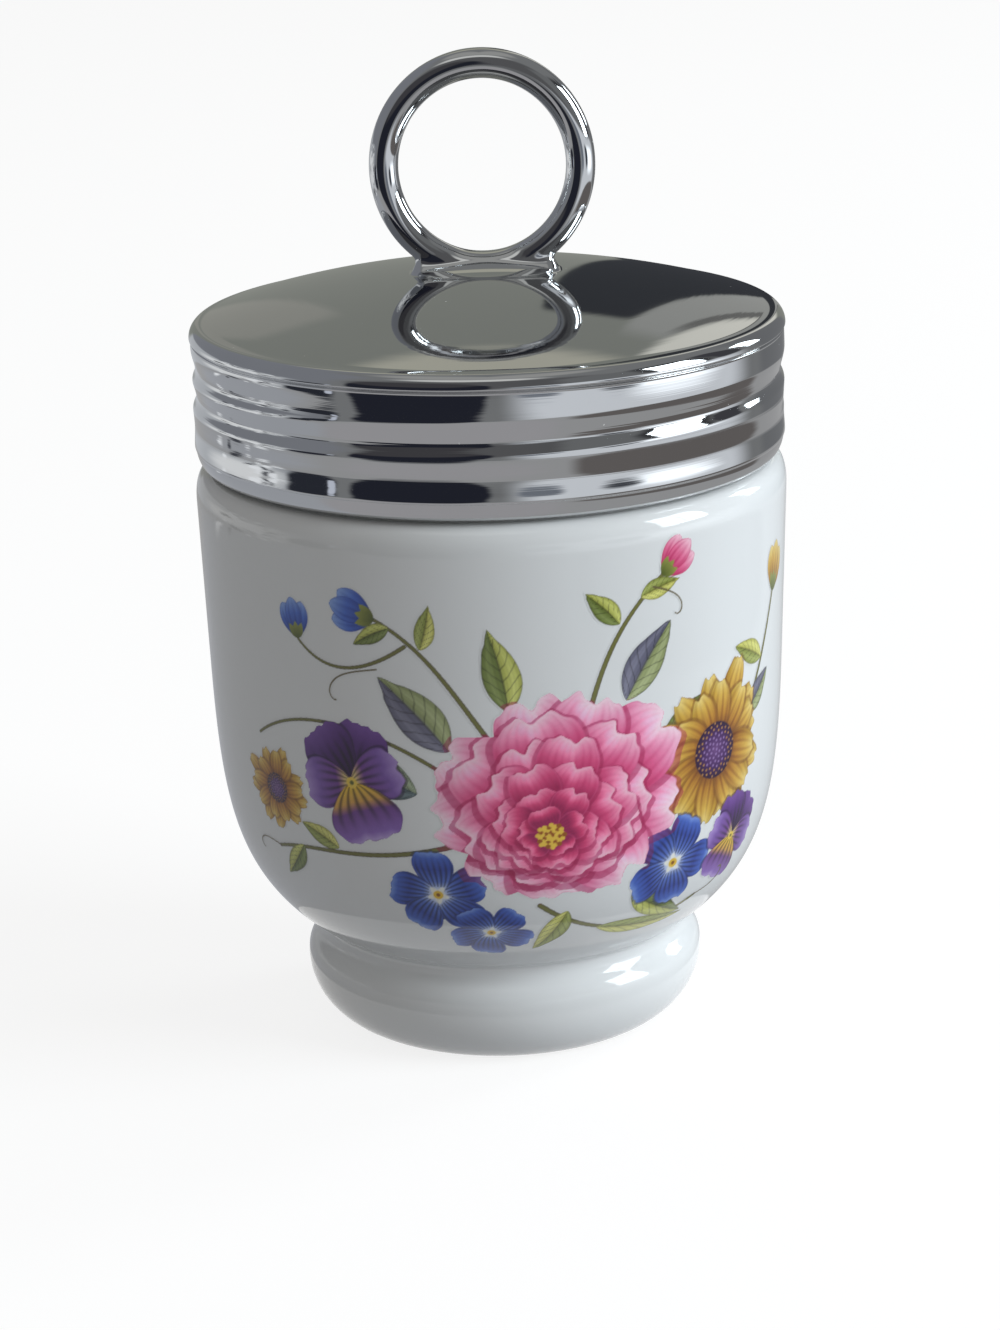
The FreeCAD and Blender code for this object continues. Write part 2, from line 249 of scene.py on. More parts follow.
def turned_piece(name, profile, columns, radius_at=None):
    """Turns a profile that starts and ends on the axis. radius_at(angle, height, radius)
    may change a row's radius with the angle."""
    angle = np.arange(columns) * FULL_TURN / columns
    rows = profile[1:-1]
    radius = np.repeat(rows[:, :1], columns, 1)
    height = np.repeat(rows[:, 1:], columns, 1)
    if radius_at is not None:
        radius = radius_at(np.degrees(angle)[None, :], height, radius)
    points = np.stack([radius * np.cos(angle), radius * np.sin(angle), height], -1).reshape(-1, 3)
    index = np.arange(len(points)).reshape(len(rows), columns)
    first = len(points)
    points = np.concatenate([points, [[0.0, 0.0, profile[0, 1]], [0.0, 0.0, profile[-1, 1]]]])
    fans = [np.stack([np.full(columns, first), np.roll(index[0], -1), index[0]], -1),
            np.stack([np.full(columns, first + 1), index[-1], np.roll(index[-1], -1)], -1)]
    return new_mesh(name, points, wrapped_quads(index), np.concatenate(fans))


# ==== shapes
def bowl_side():
    """The cup's outside from the crease to the top of the shoulder."""
    swell = (BELLY_RADIUS - BOWL_END_RADIUS) / (BELLY_HEIGHT - BOWL_END_HEIGHT)
    low_pole = (CREASE[0] + BOWL_LOW_PULL * math.sin(BOWL_LEAN),
                CREASE[1] + BOWL_LOW_PULL * math.cos(BOWL_LEAN))
    high_pole = (BOWL_END_RADIUS - BOWL_HIGH_PULL * swell, BOWL_END_HEIGHT - BOWL_HIGH_PULL)
    shoulder_reach = BELLY_RADIUS - NECK_RADIUS
    return outline(
        CREASE,
        (low_pole, high_pole, (BOWL_END_RADIUS, BOWL_END_HEIGHT), BOWL_ROWS),
        ((BELLY_RADIUS, BELLY_HEIGHT), 10),
        ((BELLY_RADIUS + 0.7 * SHOULDER_DROP * swell, BELLY_HEIGHT + 0.7 * SHOULDER_DROP),
         (BELLY_RADIUS - 0.3 * shoulder_reach, SHOULDER_HEIGHT), (NECK_RADIUS, SHOULDER_HEIGHT), 20))


def cup_profile():
    bulge_centre = (FOOT_BULGE[0] - FOOT_BULGE_SECTION, FOOT_BULGE[1])
    stand_inner = STAND_OUTER - STAND_WIDTH
    recess_centre = (stand_inner - RECESS_CORNER, RECESS_DEPTH - RECESS_CORNER)
    bulge_start = -math.degrees(math.asin(FOOT_BULGE[1] / FOOT_BULGE_SECTION))
    cove = WAIST[1] - FOOT_BULGE[1]
    fold = CREASE[1] - WAIST[1]
    curve = CAVITY_CURVE_HEIGHT - CAVITY_FLOOR
    pull = 0.5523               # makes the curve close to a quarter of an ellipse
    throat_mid = sum(THROAT) / 2.0
    return outline(
        (0.0, RECESS_DEPTH),
        ((recess_centre[0], RECESS_DEPTH), 8),
        arc(recess_centre, RECESS_CORNER, 90.0, 0.0, 6),
        ((stand_inner, STAND_ROUND), 3),
        arc((stand_inner + STAND_ROUND, STAND_ROUND), STAND_ROUND, 180.0, 270.0, 3),
        ((STAND_OUTER - STAND_BEVEL, 0.0), 3),
        arc(bulge_centre, FOOT_BULGE_SECTION, bulge_start, 0.0, 24),
        ((FOOT_BULGE[0], FOOT_BULGE[1] + 0.6 * cove), (WAIST[0], WAIST[1] - 0.45 * cove), WAIST, 16),
        ((WAIST[0], WAIST[1] + 0.55 * fold), (CREASE[0] - 0.5 * fold, CREASE[1] - 0.4 * fold), CREASE, 12),
        bowl_side()[1:],
        ((NECK_RADIUS, RIM_HEIGHT - RIM_ROUND), 40),
        arc((NECK_RADIUS - RIM_ROUND, RIM_HEIGHT - RIM_ROUND), RIM_ROUND, 0.0, 90.0, 6),
        ((BORE_RADIUS + RIM_ROUND, RIM_HEIGHT), 2),
        arc((BORE_RADIUS + RIM_ROUND, RIM_HEIGHT - RIM_ROUND), RIM_ROUND, 90.0, 180.0, 6),
        ((BORE_RADIUS, THROAT[0]), 3),
        ((BORE_RADIUS, throat_mid), (CAVITY_RADIUS, throat_mid), (CAVITY_RADIUS, THROAT[1]), 12),
        ((CAVITY_RADIUS, CAVITY_CURVE_HEIGHT), 5),
        ((CAVITY_RADIUS, CAVITY_CURVE_HEIGHT - pull * curve), (pull * CAVITY_RADIUS, CAVITY_FLOOR),
         (0.0, CAVITY_FLOOR), 30))


def make_cup():
    def neck_radius(angle, height, radius):
        outside = np.isclose(radius, NECK_RADIUS)
        return radius + outside * NECK_THREAD_DEPTH * thread_rise(NECK_THREAD, angle, height)

    return turned_piece("cup_body", cup_profile(), 360, neck_radius)


def dome_height(radius, wall=0.0):
    return DOME_CENTRE + np.sqrt((DOME_RADIUS - wall) ** 2 - radius ** 2)


def dome_line(start, end, wall, count):
    radius = np.linspace(start, end, count + 1)[1:]
    return np.stack([radius, dome_height(radius, wall)], 1)


def lid_profile():
    hem_top = CAP_BOTTOM + HEM_HEIGHT
    lip = CAP_RADIUS - HEM_TAPER
    crease_low = BEAD_FOOT - CREASE_HEIGHT
    return outline(
        (0.0, CAP_TOP - CAP_TOP_WALL),
        dome_line(0.0, SEAT_INNER, CAP_TOP_WALL, 10),
        ((SEAT_INNER, SEAT_HEIGHT), 2),
        ((CAP_INNER_RADIUS, SEAT_HEIGHT), 3),
        ((CAP_INNER_RADIUS, CAP_BOTTOM), 44),
        ((lip, CAP_BOTTOM), 1),
        ((lip + 0.35 * HEM_TAPER, CAP_BOTTOM),
         (CAP_RADIUS - 0.15 * HEM_TAPER, CAP_BOTTOM + 0.5 * HEM_HEIGHT),
         (CAP_RADIUS - HEM_CREASE, hem_top), 20),
        ((CAP_RADIUS - 0.8 * HEM_CREASE, hem_top + 0.02), (CAP_RADIUS, hem_top + 0.3 * HEM_CREASE),
         (CAP_RADIUS, hem_top + 1.6 * HEM_CREASE), 5),
        ((CAP_RADIUS, crease_low - 0.1), 84),
        ((CAP_RADIUS, crease_low), (CAP_RADIUS - CREASE_DEPTH, crease_low + 0.05),
         (CAP_RADIUS - CREASE_DEPTH, BEAD_FOOT - CREASE_HEIGHT / 2.0), 6),
        ((CAP_RADIUS - CREASE_DEPTH, BEAD_FOOT - 0.02), (BEAD_RADIUS, BEAD_FOOT - 0.05),
         (BEAD_RADIUS, BEAD_FOOT + 0.12), 8),
        ((BEAD_RADIUS, BEAD_FOOT + 0.6 * BEAD_HEIGHT),
         (DOME_EDGE_RADIUS + 0.5 * BEAD_WIDTH, DOME_EDGE_HEIGHT + 0.02 * BEAD_HEIGHT),
         (DOME_EDGE_RADIUS, DOME_EDGE_HEIGHT), 28),
        dome_line(DOME_EDGE_RADIUS, 0.0, 0.0, 40))


def make_lid():
    def wall_radius(angle, height, radius):
        outside = np.isclose(radius, CAP_RADIUS)
        inside = np.isclose(radius, CAP_INNER_RADIUS)
        groove = outside * GROOVE_DEPTH * thread_rise(CAP_GROOVE, angle, height)
        thread = inside * CAP_THREAD_DEPTH * thread_rise(CAP_THREAD, angle, height)
        dip = np.cos(math.pi * np.clip((height - DIP_HEIGHT) / DIP_WIDTH, -0.5, 0.5)) ** 2
        brow = np.clip((height - BROW_HEIGHT) / (BEAD_FOOT - BROW_HEIGHT), 0.0, 1.0) ** 2
        return radius - outside * (DIP_DEPTH * dip + BROW_DEPTH * brow) - groove - thread

    shell = turned_piece("lid_shell", lid_profile(), 384, wall_radius)
    place = np.empty(len(shell.data.vertices) * 3, np.float32)
    shell.data.vertices.foreach_get("co", place)
    x, y, z = place.reshape(-1, 3).T.astype(float) / MM
    outside = np.hypot(x, y) > CAP_INNER_RADIUS + 0.2
    rolled = outside * np.minimum(thread_rise(CAP_GROOVE, np.degrees(np.arctan2(y, x)), z), 1.0)
    layer = shell.data.attributes.new("rolled", "FLOAT", "POINT")
    layer.data.foreach_set("value", rolled.astype(np.float32))
    return shell


def fillet_reach(x):
    """Reach of the meniscus on the dome, long at the front and back and short at the ends."""
    share = np.clip(np.abs(x) / (SOLDER_HALF_LENGTH + FILLET_OVERRUN), 0.0, 1.0)
    return FILLET_END_REACH + (FILLET_REACH - FILLET_END_REACH) * (1.0 - share ** 4) ** 1.5


def soft_union(a, b, blend):
    mix = np.clip(0.5 + 0.5 * (b - a) / blend, 0.0, 1.0)
    return b * (1.0 - mix) + a * mix - blend * mix * (1.0 - mix)


def ring_field(points):
    """Field of ring, solder and dome, 0 on their surface, and the distance to ring and solder."""
    x, y, z = points[..., 0] / RING_SQUEEZE, points[..., 1], points[..., 2] - RING_CENTRE
    mean_radius = RING_OUTER_RADIUS - RING_WIRE_RADIUS
    ring = np.hypot(np.hypot(x, z) - mean_radius, y) - RING_WIRE_RADIUS
    corner = np.array([SOLDER_HALF_LENGTH, SOLDER_HALF_WIDTH, SOLDER_HEIGHT + SOLDER_DEPTH]) - SOLDER_ROUND
    past = np.abs(points - np.array([0.0, 0.0, CAP_TOP - SOLDER_DEPTH])) - corner
    block = np.linalg.norm(np.maximum(past, 0.0), axis=-1) + np.minimum(past.max(-1), 0.0) - SOLDER_ROUND
    body = soft_union(ring, block, SOLDER_BLEND)
    dome = np.linalg.norm(points - np.array([0.0, 0.0, DOME_CENTRE]), axis=-1) - DOME_RADIUS
    reach = fillet_reach(points[..., 0])
    near_dome = np.maximum(1.0 - dome / FILLET_HEIGHT, 0.0)
    near_body = np.maximum(1.0 - body / reach, 0.0)
    between = FILLET_HEIGHT * (1.0 - np.hypot(near_dome, near_body))
    apart = np.minimum(dome, body * FILLET_HEIGHT / reach)
    return np.where((near_dome > 0.0) & (near_body > 0.0), between, apart), body


def field_slope(points):
    """Gradient of the ring's field."""
    step = 0.002
    return np.stack([ring_field(points + step * axis)[0] - ring_field(points - step * axis)[0]
                     for axis in np.eye(3)], -1) / (2.0 * step)


def foot_net():
    """A surface net over the ring's field, drawn onto it, up to the angle where the plain ring
    begins and out to where it has joined the dome."""
    side = SOLDER_HALF_WIDTH + FILLET_REACH + NET_MARGIN
    half = RING_SQUEEZE * RING_OUTER_RADIUS
    low = np.array([-half, -side, CAP_TOP - NET_LOW])
    high = np.array([half, side, RING_CENTRE - NET_HIGH])
    counts = np.ceil((high - low) / RING_CELL).astype(int)
    axes = [low[k] + RING_CELL * np.arange(counts[k] + 1) for k in range(3)]
    grid = np.stack(np.meshgrid(*axes, indexing="ij"), -1)
    inside = ring_field(grid)[0] < 0.0
    corners = sum(inside[i:counts[0] + i, j:counts[1] + j, k:counts[2] + k].astype(int)
                  for i, j, k in np.ndindex(2, 2, 2))
    crossing = (corners > 0) & (corners < 8)
    number = np.full(tuple(counts), -1)
    number[crossing] = np.arange(crossing.sum())
    points = low + RING_CELL * (np.argwhere(crossing) + 0.5)
    for _ in range(10):
        slope = field_slope(points)
        step = ring_field(points)[0] / (slope ** 2).sum(-1)
        points = points - slope * np.clip(step, -0.3, 0.3)[:, None]
    quads = []
    for axis in range(3):
        side_a, side_b = (axis + 1) % 3, (axis + 2) % 3
        lower = inside.take(range(counts[axis]), axis)
        upper = inside.take(range(1, counts[axis] + 1), axis)
        cut = np.argwhere(lower != upper)
        cut = cut[(cut[:, side_a] > 0) & (cut[:, side_a] < counts[side_a])
                  & (cut[:, side_b] > 0) & (cut[:, side_b] < counts[side_b])]
        back_a = np.eye(3, dtype=int)[side_a]
        back_b = np.eye(3, dtype=int)[side_b]
        around = [cut - back_a - back_b, cut - back_b, cut, cut - back_a]
        quad = np.stack([number[tuple(cell.T)] for cell in around], -1)
        flip = ~lower[tuple(cut.T)]
        quad[flip] = quad[flip][:, ::-1]
        quads.append(quad)
    quads = np.concatenate(quads)
    joined = ring_field(points)[1] > 1.02 * fillet_reach(points[:, 0])
    up = np.degrees(np.arctan2(np.abs(points[:, 0]) / RING_SQUEEZE, RING_CENTRE - points[:, 2]))
    left_out = joined | (up > RING_FOOT_ANGLE + 1.0)
    quads = quads[(quads >= 0).all(1) & ~left_out[quads].all(1)]
    used = np.unique(quads)
    renumber = np.full(len(points), -1)
    renumber[used] = np.arange(len(used))
    return points[used], renumber[quads]


def make_ring():
    """The plain ring above its foot, and the foot with its solder."""
    foot, foot_quads = foot_net()
    round_ring, round_wire = 420, 112
    turn = np.radians(np.linspace(RING_FOOT_ANGLE, 360.0 - RING_FOOT_ANGLE, round_ring + 1))[:, None]
    around = (np.arange(round_wire) * FULL_TURN / round_wire)[None, :]
    reach = RING_OUTER_RADIUS - RING_WIRE_RADIUS + RING_WIRE_RADIUS * np.cos(around)
    ring = np.stack([RING_SQUEEZE * reach * np.sin(turn),
                     RING_WIRE_RADIUS * np.sin(around) + 0.0 * turn,
                     RING_CENTRE - reach * np.cos(turn)], -1).reshape(-1, 3)
    ring_quads = wrapped_quads(len(foot) + np.arange(len(ring)).reshape(round_ring + 1, round_wire))
    points = np.concatenate([foot, ring])
    slope = field_slope(points)
    normals = slope / np.linalg.norm(slope, axis=-1, keepdims=True)
    return new_mesh("finger_ring_loop", points, np.concatenate([foot_quads, ring_quads]), None, normals)


# ==== printed flower spray
PRINT_STEP = 0.11               # spacing of the painted points
PRINT_LIFT = 0.02               # thickness of the print on the glaze
PRINT_LOW = 0.4                 # the canvas begins this far above the crease
PRINT_HIGH = 57.4               # and ends here, in length along the side
INKED = 0.01                    # cover from which a point belongs to the printed sheet
EDGE_SOFT = 0.14                # width over which an inked edge fades
FINE_SOFT = 0.12                # and that of lines and seeds
GOLDEN_ANGLE = 2.39996          # radians from one seed of a flower's heart to the next


def bowl_path():
    """Radius and height of the bowl's side against its length, measured up from the crease
    so that it equals the height on the straight upper part."""
    side = bowl_side()
    length = np.concatenate([[0.0], np.cumsum(np.linalg.norm(np.diff(side, axis=0), axis=1))])
    return side, length - length[BOWL_ROWS] + side[BOWL_ROWS, 1]


class Canvas:
    """Ink and its cover on a fine grid round the bowl. A place is given as (across, up):
    millimetres round the belly from the spray's middle, towards +X at the front, and up along
    the side."""

    def __init__(self):
        side, length = bowl_path()
        self.middle = 0.0       # of the spray, in millimetres round the belly from the front
        self.up = np.arange(length[0] + PRINT_LOW, PRINT_HIGH, PRINT_STEP)
        self.radius = np.interp(self.up, length, side[:, 0])
        self.height = np.interp(self.up, length, side[:, 1])
        count = int(FULL_TURN * BELLY_RADIUS / PRINT_STEP)
        self.turn = np.arange(count) * FULL_TURN / count - math.pi
        self.ink = np.ones((len(self.up), count, 3))
        self.cover = np.zeros((len(self.up), count))


class Spot:
    """A window of the canvas with its own x and y in millimetres, y up, which may be squashed
    in y and then turned."""

    def __init__(self, canvas, place, reach, degrees=0.0, squash=1.0):
        self.canvas = canvas
        rows = np.nonzero(np.abs(canvas.up - place[1]) < reach)[0]
        step = canvas.turn[1] - canvas.turn[0]
        middle = (place[0] + canvas.middle) / BELLY_RADIUS
        half = int(reach / canvas.radius[rows].min() / step) + 1
        columns = int(round((middle - canvas.turn[0]) / step)) + np.arange(-half, half + 1)
        self.where = np.ix_(rows, columns % len(canvas.turn))
        turn = canvas.turn[0] + columns * step - middle
        x = turn[None, :] * canvas.radius[rows][:, None]
        y = np.repeat((canvas.up[rows] - place[1])[:, None], len(columns), 1) / squash
        cosine, sine = math.cos(math.radians(degrees)), math.sin(math.radians(degrees))
        self.x, self.y = x * cosine + y * sine, y * cosine - x * sine

    def lay(self, cover, ink):
        """Lays ink over what is there."""
        old = self.canvas.cover[self.where]
        total = cover + old * (1.0 - cover)
        share = (cover / np.maximum(total, 1e-6))[..., None]
        self.canvas.ink[self.where] = self.canvas.ink[self.where] * (1.0 - share) + ink * share
        self.canvas.cover[self.where] = total

    def fill(self, inside, tone, soft=EDGE_SOFT, cover=1.0):
        """Lays one tone where inside, a distance in millimetres, is positive."""
        self.lay(cover * smooth_step(inside / soft + 0.5), np.array(tone))

    def rimmed(self, cover, ink, edge, width, strength, tone):
        """Lays ink with a line of another tone along its edge."""
        ink = towards(ink, tone, strength * smooth_step(1.0 - edge / width))
        self.lay(cover, np.clip(ink, 0.0, 1.0))

    def disc(self, radius, tone):
        self.fill(radius - np.hypot(self.x, self.y), tone)

    def seeds(self, height, count, first, reach, size, tone, cover=1.0):
        """Dots wound out from a point at a height above the middle, with a tone for each."""
        for number in range(count):
            angle = number * GOLDEN_ANGLE
            radius = reach * math.sqrt((number + first) / count)
            gap = np.hypot(self.x - radius * math.cos(angle), self.y - height - radius * math.sin(angle))
            self.fill(size - gap, tone(number), FINE_SOFT, cover)

    def petal(self, heading, length, width, root=(0.0, 0.0), fullness=1.5, blunt=0.5, notch=0.0,
              ruffle=0.0, bend=0.0, phase=0.0):
        """One petal or leaf. Returns its cover, how far along and how far to the side each point
        is, and the distance in from its edge. fullness moves the widest part out, blunt rounds
        the tip."""
        cosine, sine = math.cos(heading), math.sin(heading)
        x, y = self.x - root[0], self.y - root[1]
        run = (x * cosine + y * sine) / length
        across = y * cosine - x * sine - bend * length * run ** 2
        lean = across / (0.5 * width)
        tip = 1.0 - notch * np.exp(-(lean / 0.28) ** 2)
        tip = tip + ruffle * np.sin(9.0 * lean + phase) + 0.6 * ruffle * np.sin(17.0 * lean + 2.0 * phase)
        along = np.clip(run / tip, 0.0, 1.0)
        half = 0.5 * width * np.sin(math.pi * along ** fullness) ** blunt
        edge = np.minimum(half - np.abs(across), (1.0 - run / tip) * length)
        cover = smooth_step(edge / EDGE_SOFT + 0.5) * (run > 0.0)
        return cover, along, np.clip(across / np.maximum(half, 0.05), -1.0, 1.0), edge

    def upper_petal(self, fall, heading, length, width, root=(0.0, 0.0), **shape):
        """A petal that first shades what lies under it. fall says how much longer and wider than
        the petal the shade is, how far it drops, its strength and its tone."""
        longer, wider, drop, strength, tone = fall
        low_root = (root[0], root[1] - drop)
        shade = self.petal(heading, length * longer, width * wider, low_root, **shape)[0]
        amount = np.clip(strength * shade * self.canvas.cover[self.where], 0.0, 1.0)
        self.canvas.ink[self.where] = towards(self.canvas.ink[self.where], tone, amount)
        return self.petal(heading, length, width, root, **shape)


def towards(ink, tone, amount):
    """Ink taken some way towards a tone."""
    return ink * (1.0 - amount)[..., None] + np.array(tone) * amount[..., None]


def ramp(value, *stops):
    """Colour at a value, from (value, colour) stops in order."""
    marks = [stop[0] for stop in stops]
    return np.stack([np.interp(value, marks, [stop[1][k] for stop in stops]) for k in range(3)], -1)


def streaks(side, along, count, phase=0.0):
    """Fine engraved lines that run along a petal, from 0 to 1."""
    return 0.5 + 0.5 * np.cos(side * count * math.pi + phase + 0.8 * np.sin(4.0 * along + phase))


def stroke(canvas, points, width, ink, taper=0.5, rim=None):
    """A drawn line through points, thinner towards its end."""
    for wider, tone in ([] if rim is None else [(1.45, rim)]) + [(1.0, ink)]:
        for number, (a, b) in enumerate(zip(points[:-1], points[1:])):
            thick = width * wider * (1.0 - taper * number / (len(points) - 1))
            along, middle = b - a, (a + b) / 2.0
            spot = Spot(canvas, middle, np.linalg.norm(along) / 2.0 + thick + 0.3)
            x, y = spot.x + middle[0] - a[0], spot.y + middle[1] - a[1]
            share = np.clip((x * along[0] + y * along[1]) / max(along @ along, 1e-9), 0.0, 1.0)
            away = np.hypot(x - share * along[0], y - share * along[1])
            spot.fill(thick / 2.0 - away, tone, FINE_SOFT)


def stem(canvas, a, b, c, d, width=0.42):
    points = np.concatenate([[a], bezier(a, b, c, d, 27)])
    stroke(canvas, points, width, (0.47, 0.47, 0.27), 0.35, (0.33, 0.30, 0.20))


def tendril(canvas, start, heading, length, curl):
    """A thin shoot that ends in a curl. curl is in turns, and its sign is the way round."""
    count = 60
    points = [np.array(start, float)]
    angle = math.radians(heading)
    for number in range(count):
        share = number / count
        angle += FULL_TURN * curl / count * 2.6 * share ** 1.6
        step = length / count * (1.0 - 0.72 * share)
        points.append(points[-1] + step * np.array([math.cos(angle), math.sin(angle)]))
    stroke(canvas, points, 0.17, (0.42, 0.38, 0.27), 0.2)


LEAF_TONES = {                  # the two halves, and the veins
    "olive": ((0.74, 0.76, 0.38), (0.44, 0.50, 0.24), (0.25, 0.25, 0.13)),
    "grey": ((0.60, 0.64, 0.44), (0.42, 0.42, 0.50), (0.24, 0.24, 0.24)),
    "lime": ((0.80, 0.80, 0.42), (0.58, 0.62, 0.30), (0.35, 0.33, 0.16)),
    "blue": ((0.56, 0.62, 0.50), (0.33, 0.40, 0.42), (0.20, 0.24, 0.24)),
}


def leaf(canvas, root, heading, length, width, tone, bend):
    """A pointed leaf with two halves in different tones, a midrib and side veins."""
    light, dark, vein = LEAF_TONES[tone]
    angle = math.radians(heading)
    half = (0.5 * length * math.cos(angle), 0.5 * length * math.sin(angle))
    spot = Spot(canvas, (root[0] + half[0], root[1] + half[1]), 0.62 * length)
    cover, along, side, edge = spot.petal(angle, length, width, (-half[0], -half[1]), fullness=0.78,
                                          blunt=0.95, bend=bend, ruffle=0.012, phase=heading)
    ink = ramp(side, (-1.0, light), (-0.12, light), (0.05, dark), (1.0, dark))
    ink = ink + (0.10 * (0.5 - along))[..., None]
    veins = np.abs(((along * 7.0 - np.abs(side) * 1.6) % 1.0) - 0.5)
    ink = ink * (1.0 - 0.30 * smooth_step(1.0 - veins / 0.13))[..., None]
    ink = ink * (0.93 + 0.07 * streaks(side, along, 9.0, heading))[..., None]
    ink = ink + 0.10 * smooth_step(1.0 - np.abs(np.abs(side) - 0.55) / 0.4)[..., None]
    rib = smooth_step(1.0 - np.abs(side) * width * 0.5 / 0.16) * (along < 0.95)
    spot.rimmed(cover, towards(ink, vein, 0.55 * rib), edge, 0.2, 0.45, vein)


def petal_ink(along, side, tones, lines, phase, depth):
    """Colour along a petal with engraved lines that fade towards its rim."""
    mark = streaks(side, along, lines, phase) ** 2 * (1.0 - along) ** 0.7
    mark = mark + 0.5 * streaks(side, along, lines * 1.7, phase * 2.0) ** 3 * (1.0 - along)
    return towards(ramp(along, *tones), tones[0][1], np.clip(depth * 2.2 * mark, 0.0, 0.85))


def peony(canvas, place, size, seed, tilt=-12.0):
    """A full pink bloom: rounded notched petals in rings, deeper towards a golden heart."""
    rng = np.random.default_rng(seed)
    spot = Spot(canvas, place, size * 1.25, tilt, 0.9)
    fall = (1.05, 1.12, 0.03 * size, 0.42, (0.62, 0.10, 0.30))
    rings = [(9, 1.04, 0.74, 0.10), (8, 0.86, 0.66, 0.05), (8, 0.70, 0.56, -0.02),
             (7, 0.54, 0.46, -0.08), (6, 0.40, 0.36, -0.13), (5, 0.27, 0.26, -0.17)]
    for level, (count, reach, breadth, height) in enumerate(rings):
        depth = level / (len(rings) - 1.0)
        start = 0.45 + 0.1 * depth
        tones = [(start, (0.72 - 0.12 * depth, 0.13, 0.34)),
                 (start + 0.22, (0.90 - 0.05 * depth, 0.38 - 0.12 * depth, 0.58 - 0.12 * depth)),
                 (start + 0.40, (0.97, 0.66 - 0.16 * depth, 0.79 - 0.14 * depth)),
                 (1.0, (0.995, 0.90 - 0.20 * depth, 0.94 - 0.15 * depth))]
        for number in sorted(range(count), key=lambda number: number * 3 % count):
            heading = FULL_TURN * (number + 0.5 * (level % 2) + 0.16 * rng.normal()) / count
            lower = 0.5 - 0.5 * math.sin(heading)
            length = size * reach * (1.0 + 0.05 * rng.normal()) * (1.06 - 0.16 * lower)
            width = size * breadth * (1.0 + 0.08 * rng.normal())
            phase = rng.uniform(0.0, 6.0)
            cover, along, side, edge = spot.upper_petal(
                fall, heading, length, width, (0.0, size * height), fullness=1.65, blunt=0.42,
                notch=0.07 + 0.05 * rng.random(), ruffle=0.018, phase=phase)
            reach_in = np.clip((1.0 - along) / (1.0 - start), 0.0, 1.0)
            mark = streaks(side, along, 9.0, phase) ** 2 * reach_in ** 0.8
            ink = towards(ramp(along, *tones), (0.76, 0.16, 0.38), 0.34 * mark)
            glow = np.exp(-((side - 0.25) / 0.45) ** 2 - ((along - 0.86) / 0.10) ** 2)
            spot.rimmed(cover, ink + (0.10 * glow)[..., None], edge, 0.22, 0.5, (0.86, 0.36, 0.56))
    spot.seeds(-0.19 * size, 46, 0.0, 0.115 * size, 0.021 * size,
               lambda number: (0.93, 0.78, 0.30) if number % 3 else (0.62, 0.36, 0.12))


def gold_daisy(canvas, place, size, seed, petals, tilt=0.0):
    """Ochre ray petals round a dark purple cone with stippled seeds."""
    rng = np.random.default_rng(seed)
    spot = Spot(canvas, place, size * 1.15, tilt)
    breadth = 0.41
    fall = (1.03, 0.47 / breadth, 0.0, 0.35, (0.40, 0.24, 0.08))
    tones = [(0.25, (0.42, 0.22, 0.10)), (0.5, (0.74, 0.52, 0.18)), (0.78, (0.86, 0.70, 0.30)),
             (1.0, (0.93, 0.84, 0.52))]
    for level in range(2):
        for number in range(petals):
            heading = FULL_TURN * (number + 0.5 * level + 0.1 * rng.normal()) / petals
            length = size * (1.0 - 0.14 * level) * (1.0 + 0.05 * rng.normal())
            phase = rng.uniform(0.0, 6.0)
            cover, along, side, edge = spot.upper_petal(
                fall, heading, length, size * breadth, fullness=1.35, blunt=0.55, notch=0.06,
                ruffle=0.012, phase=phase, bend=0.06 * rng.normal())
            ink = petal_ink(along, side, tones, 4.0, phase, 0.26) - (0.10 * smooth_step(side))[..., None]
            spot.rimmed(cover, ink, edge, 0.2, 0.6, (0.50, 0.33, 0.13))
    heart = 0.34 * size
    radius = np.hypot(spot.x, spot.y) / heart
    spot.fill((1.0 - radius) * heart, ramp(radius, (0.0, (0.42, 0.28, 0.50)), (0.6, (0.27, 0.14, 0.36)),
                                           (1.0, (0.16, 0.07, 0.20))))
    spot.seeds(0.0, 90, 0.5, 0.33 * size, 0.012 * size + 0.03,
               lambda number: (0.62, 0.50, 0.72) if number < 40 else (0.75, 0.55, 0.30), 0.85)


def periwinkle(canvas, place, size, seed, tilt=0.0, squash=1.0):
    """Five blue petals set like a pinwheel round a pale star and a yellow eye."""
    rng = np.random.default_rng(seed)
    spot = Spot(canvas, place, size * 1.2, tilt, squash)
    breadth = 0.84
    fall = (1.04, 0.92 / breadth, 0.0, 0.4, (0.10, 0.14, 0.38))
    tones = [(0.15, (0.80, 0.84, 0.93)), (0.32, (0.36, 0.47, 0.80)), (0.6, (0.20, 0.30, 0.66)),
             (0.85, (0.27, 0.40, 0.76)), (1.0, (0.52, 0.64, 0.90))]
    for number in range(5):
        heading = FULL_TURN * (number + 0.05 * rng.normal()) / 5.0
        phase = rng.uniform(0.0, 6.0)
        cover, along, side, edge = spot.upper_petal(
            fall, heading, size, size * breadth, fullness=1.9, blunt=0.36, notch=0.03, ruffle=0.014,
            bend=0.10, phase=phase)
        mark = streaks(side, along, 7.0, phase) ** 2 * smooth_step((0.95 - along) / 0.5)
        ink = ramp(along, *tones) * (1.0 - 0.45 * mark * (along > 0.2))[..., None]
        spot.rimmed(cover, ink, edge, 0.18, 0.5, (0.16, 0.22, 0.52))
    radius = np.hypot(spot.x, spot.y) / size
    star = 0.17 + 0.05 * np.cos(5.0 * np.arctan2(spot.y, spot.x) + math.pi)
    spot.fill((star - radius) * size, (0.94, 0.94, 0.90), 0.2, 0.9)
    spot.disc(0.10 * size, (0.90, 0.74, 0.26))
    spot.disc(0.04 * size, (0.55, 0.36, 0.12))


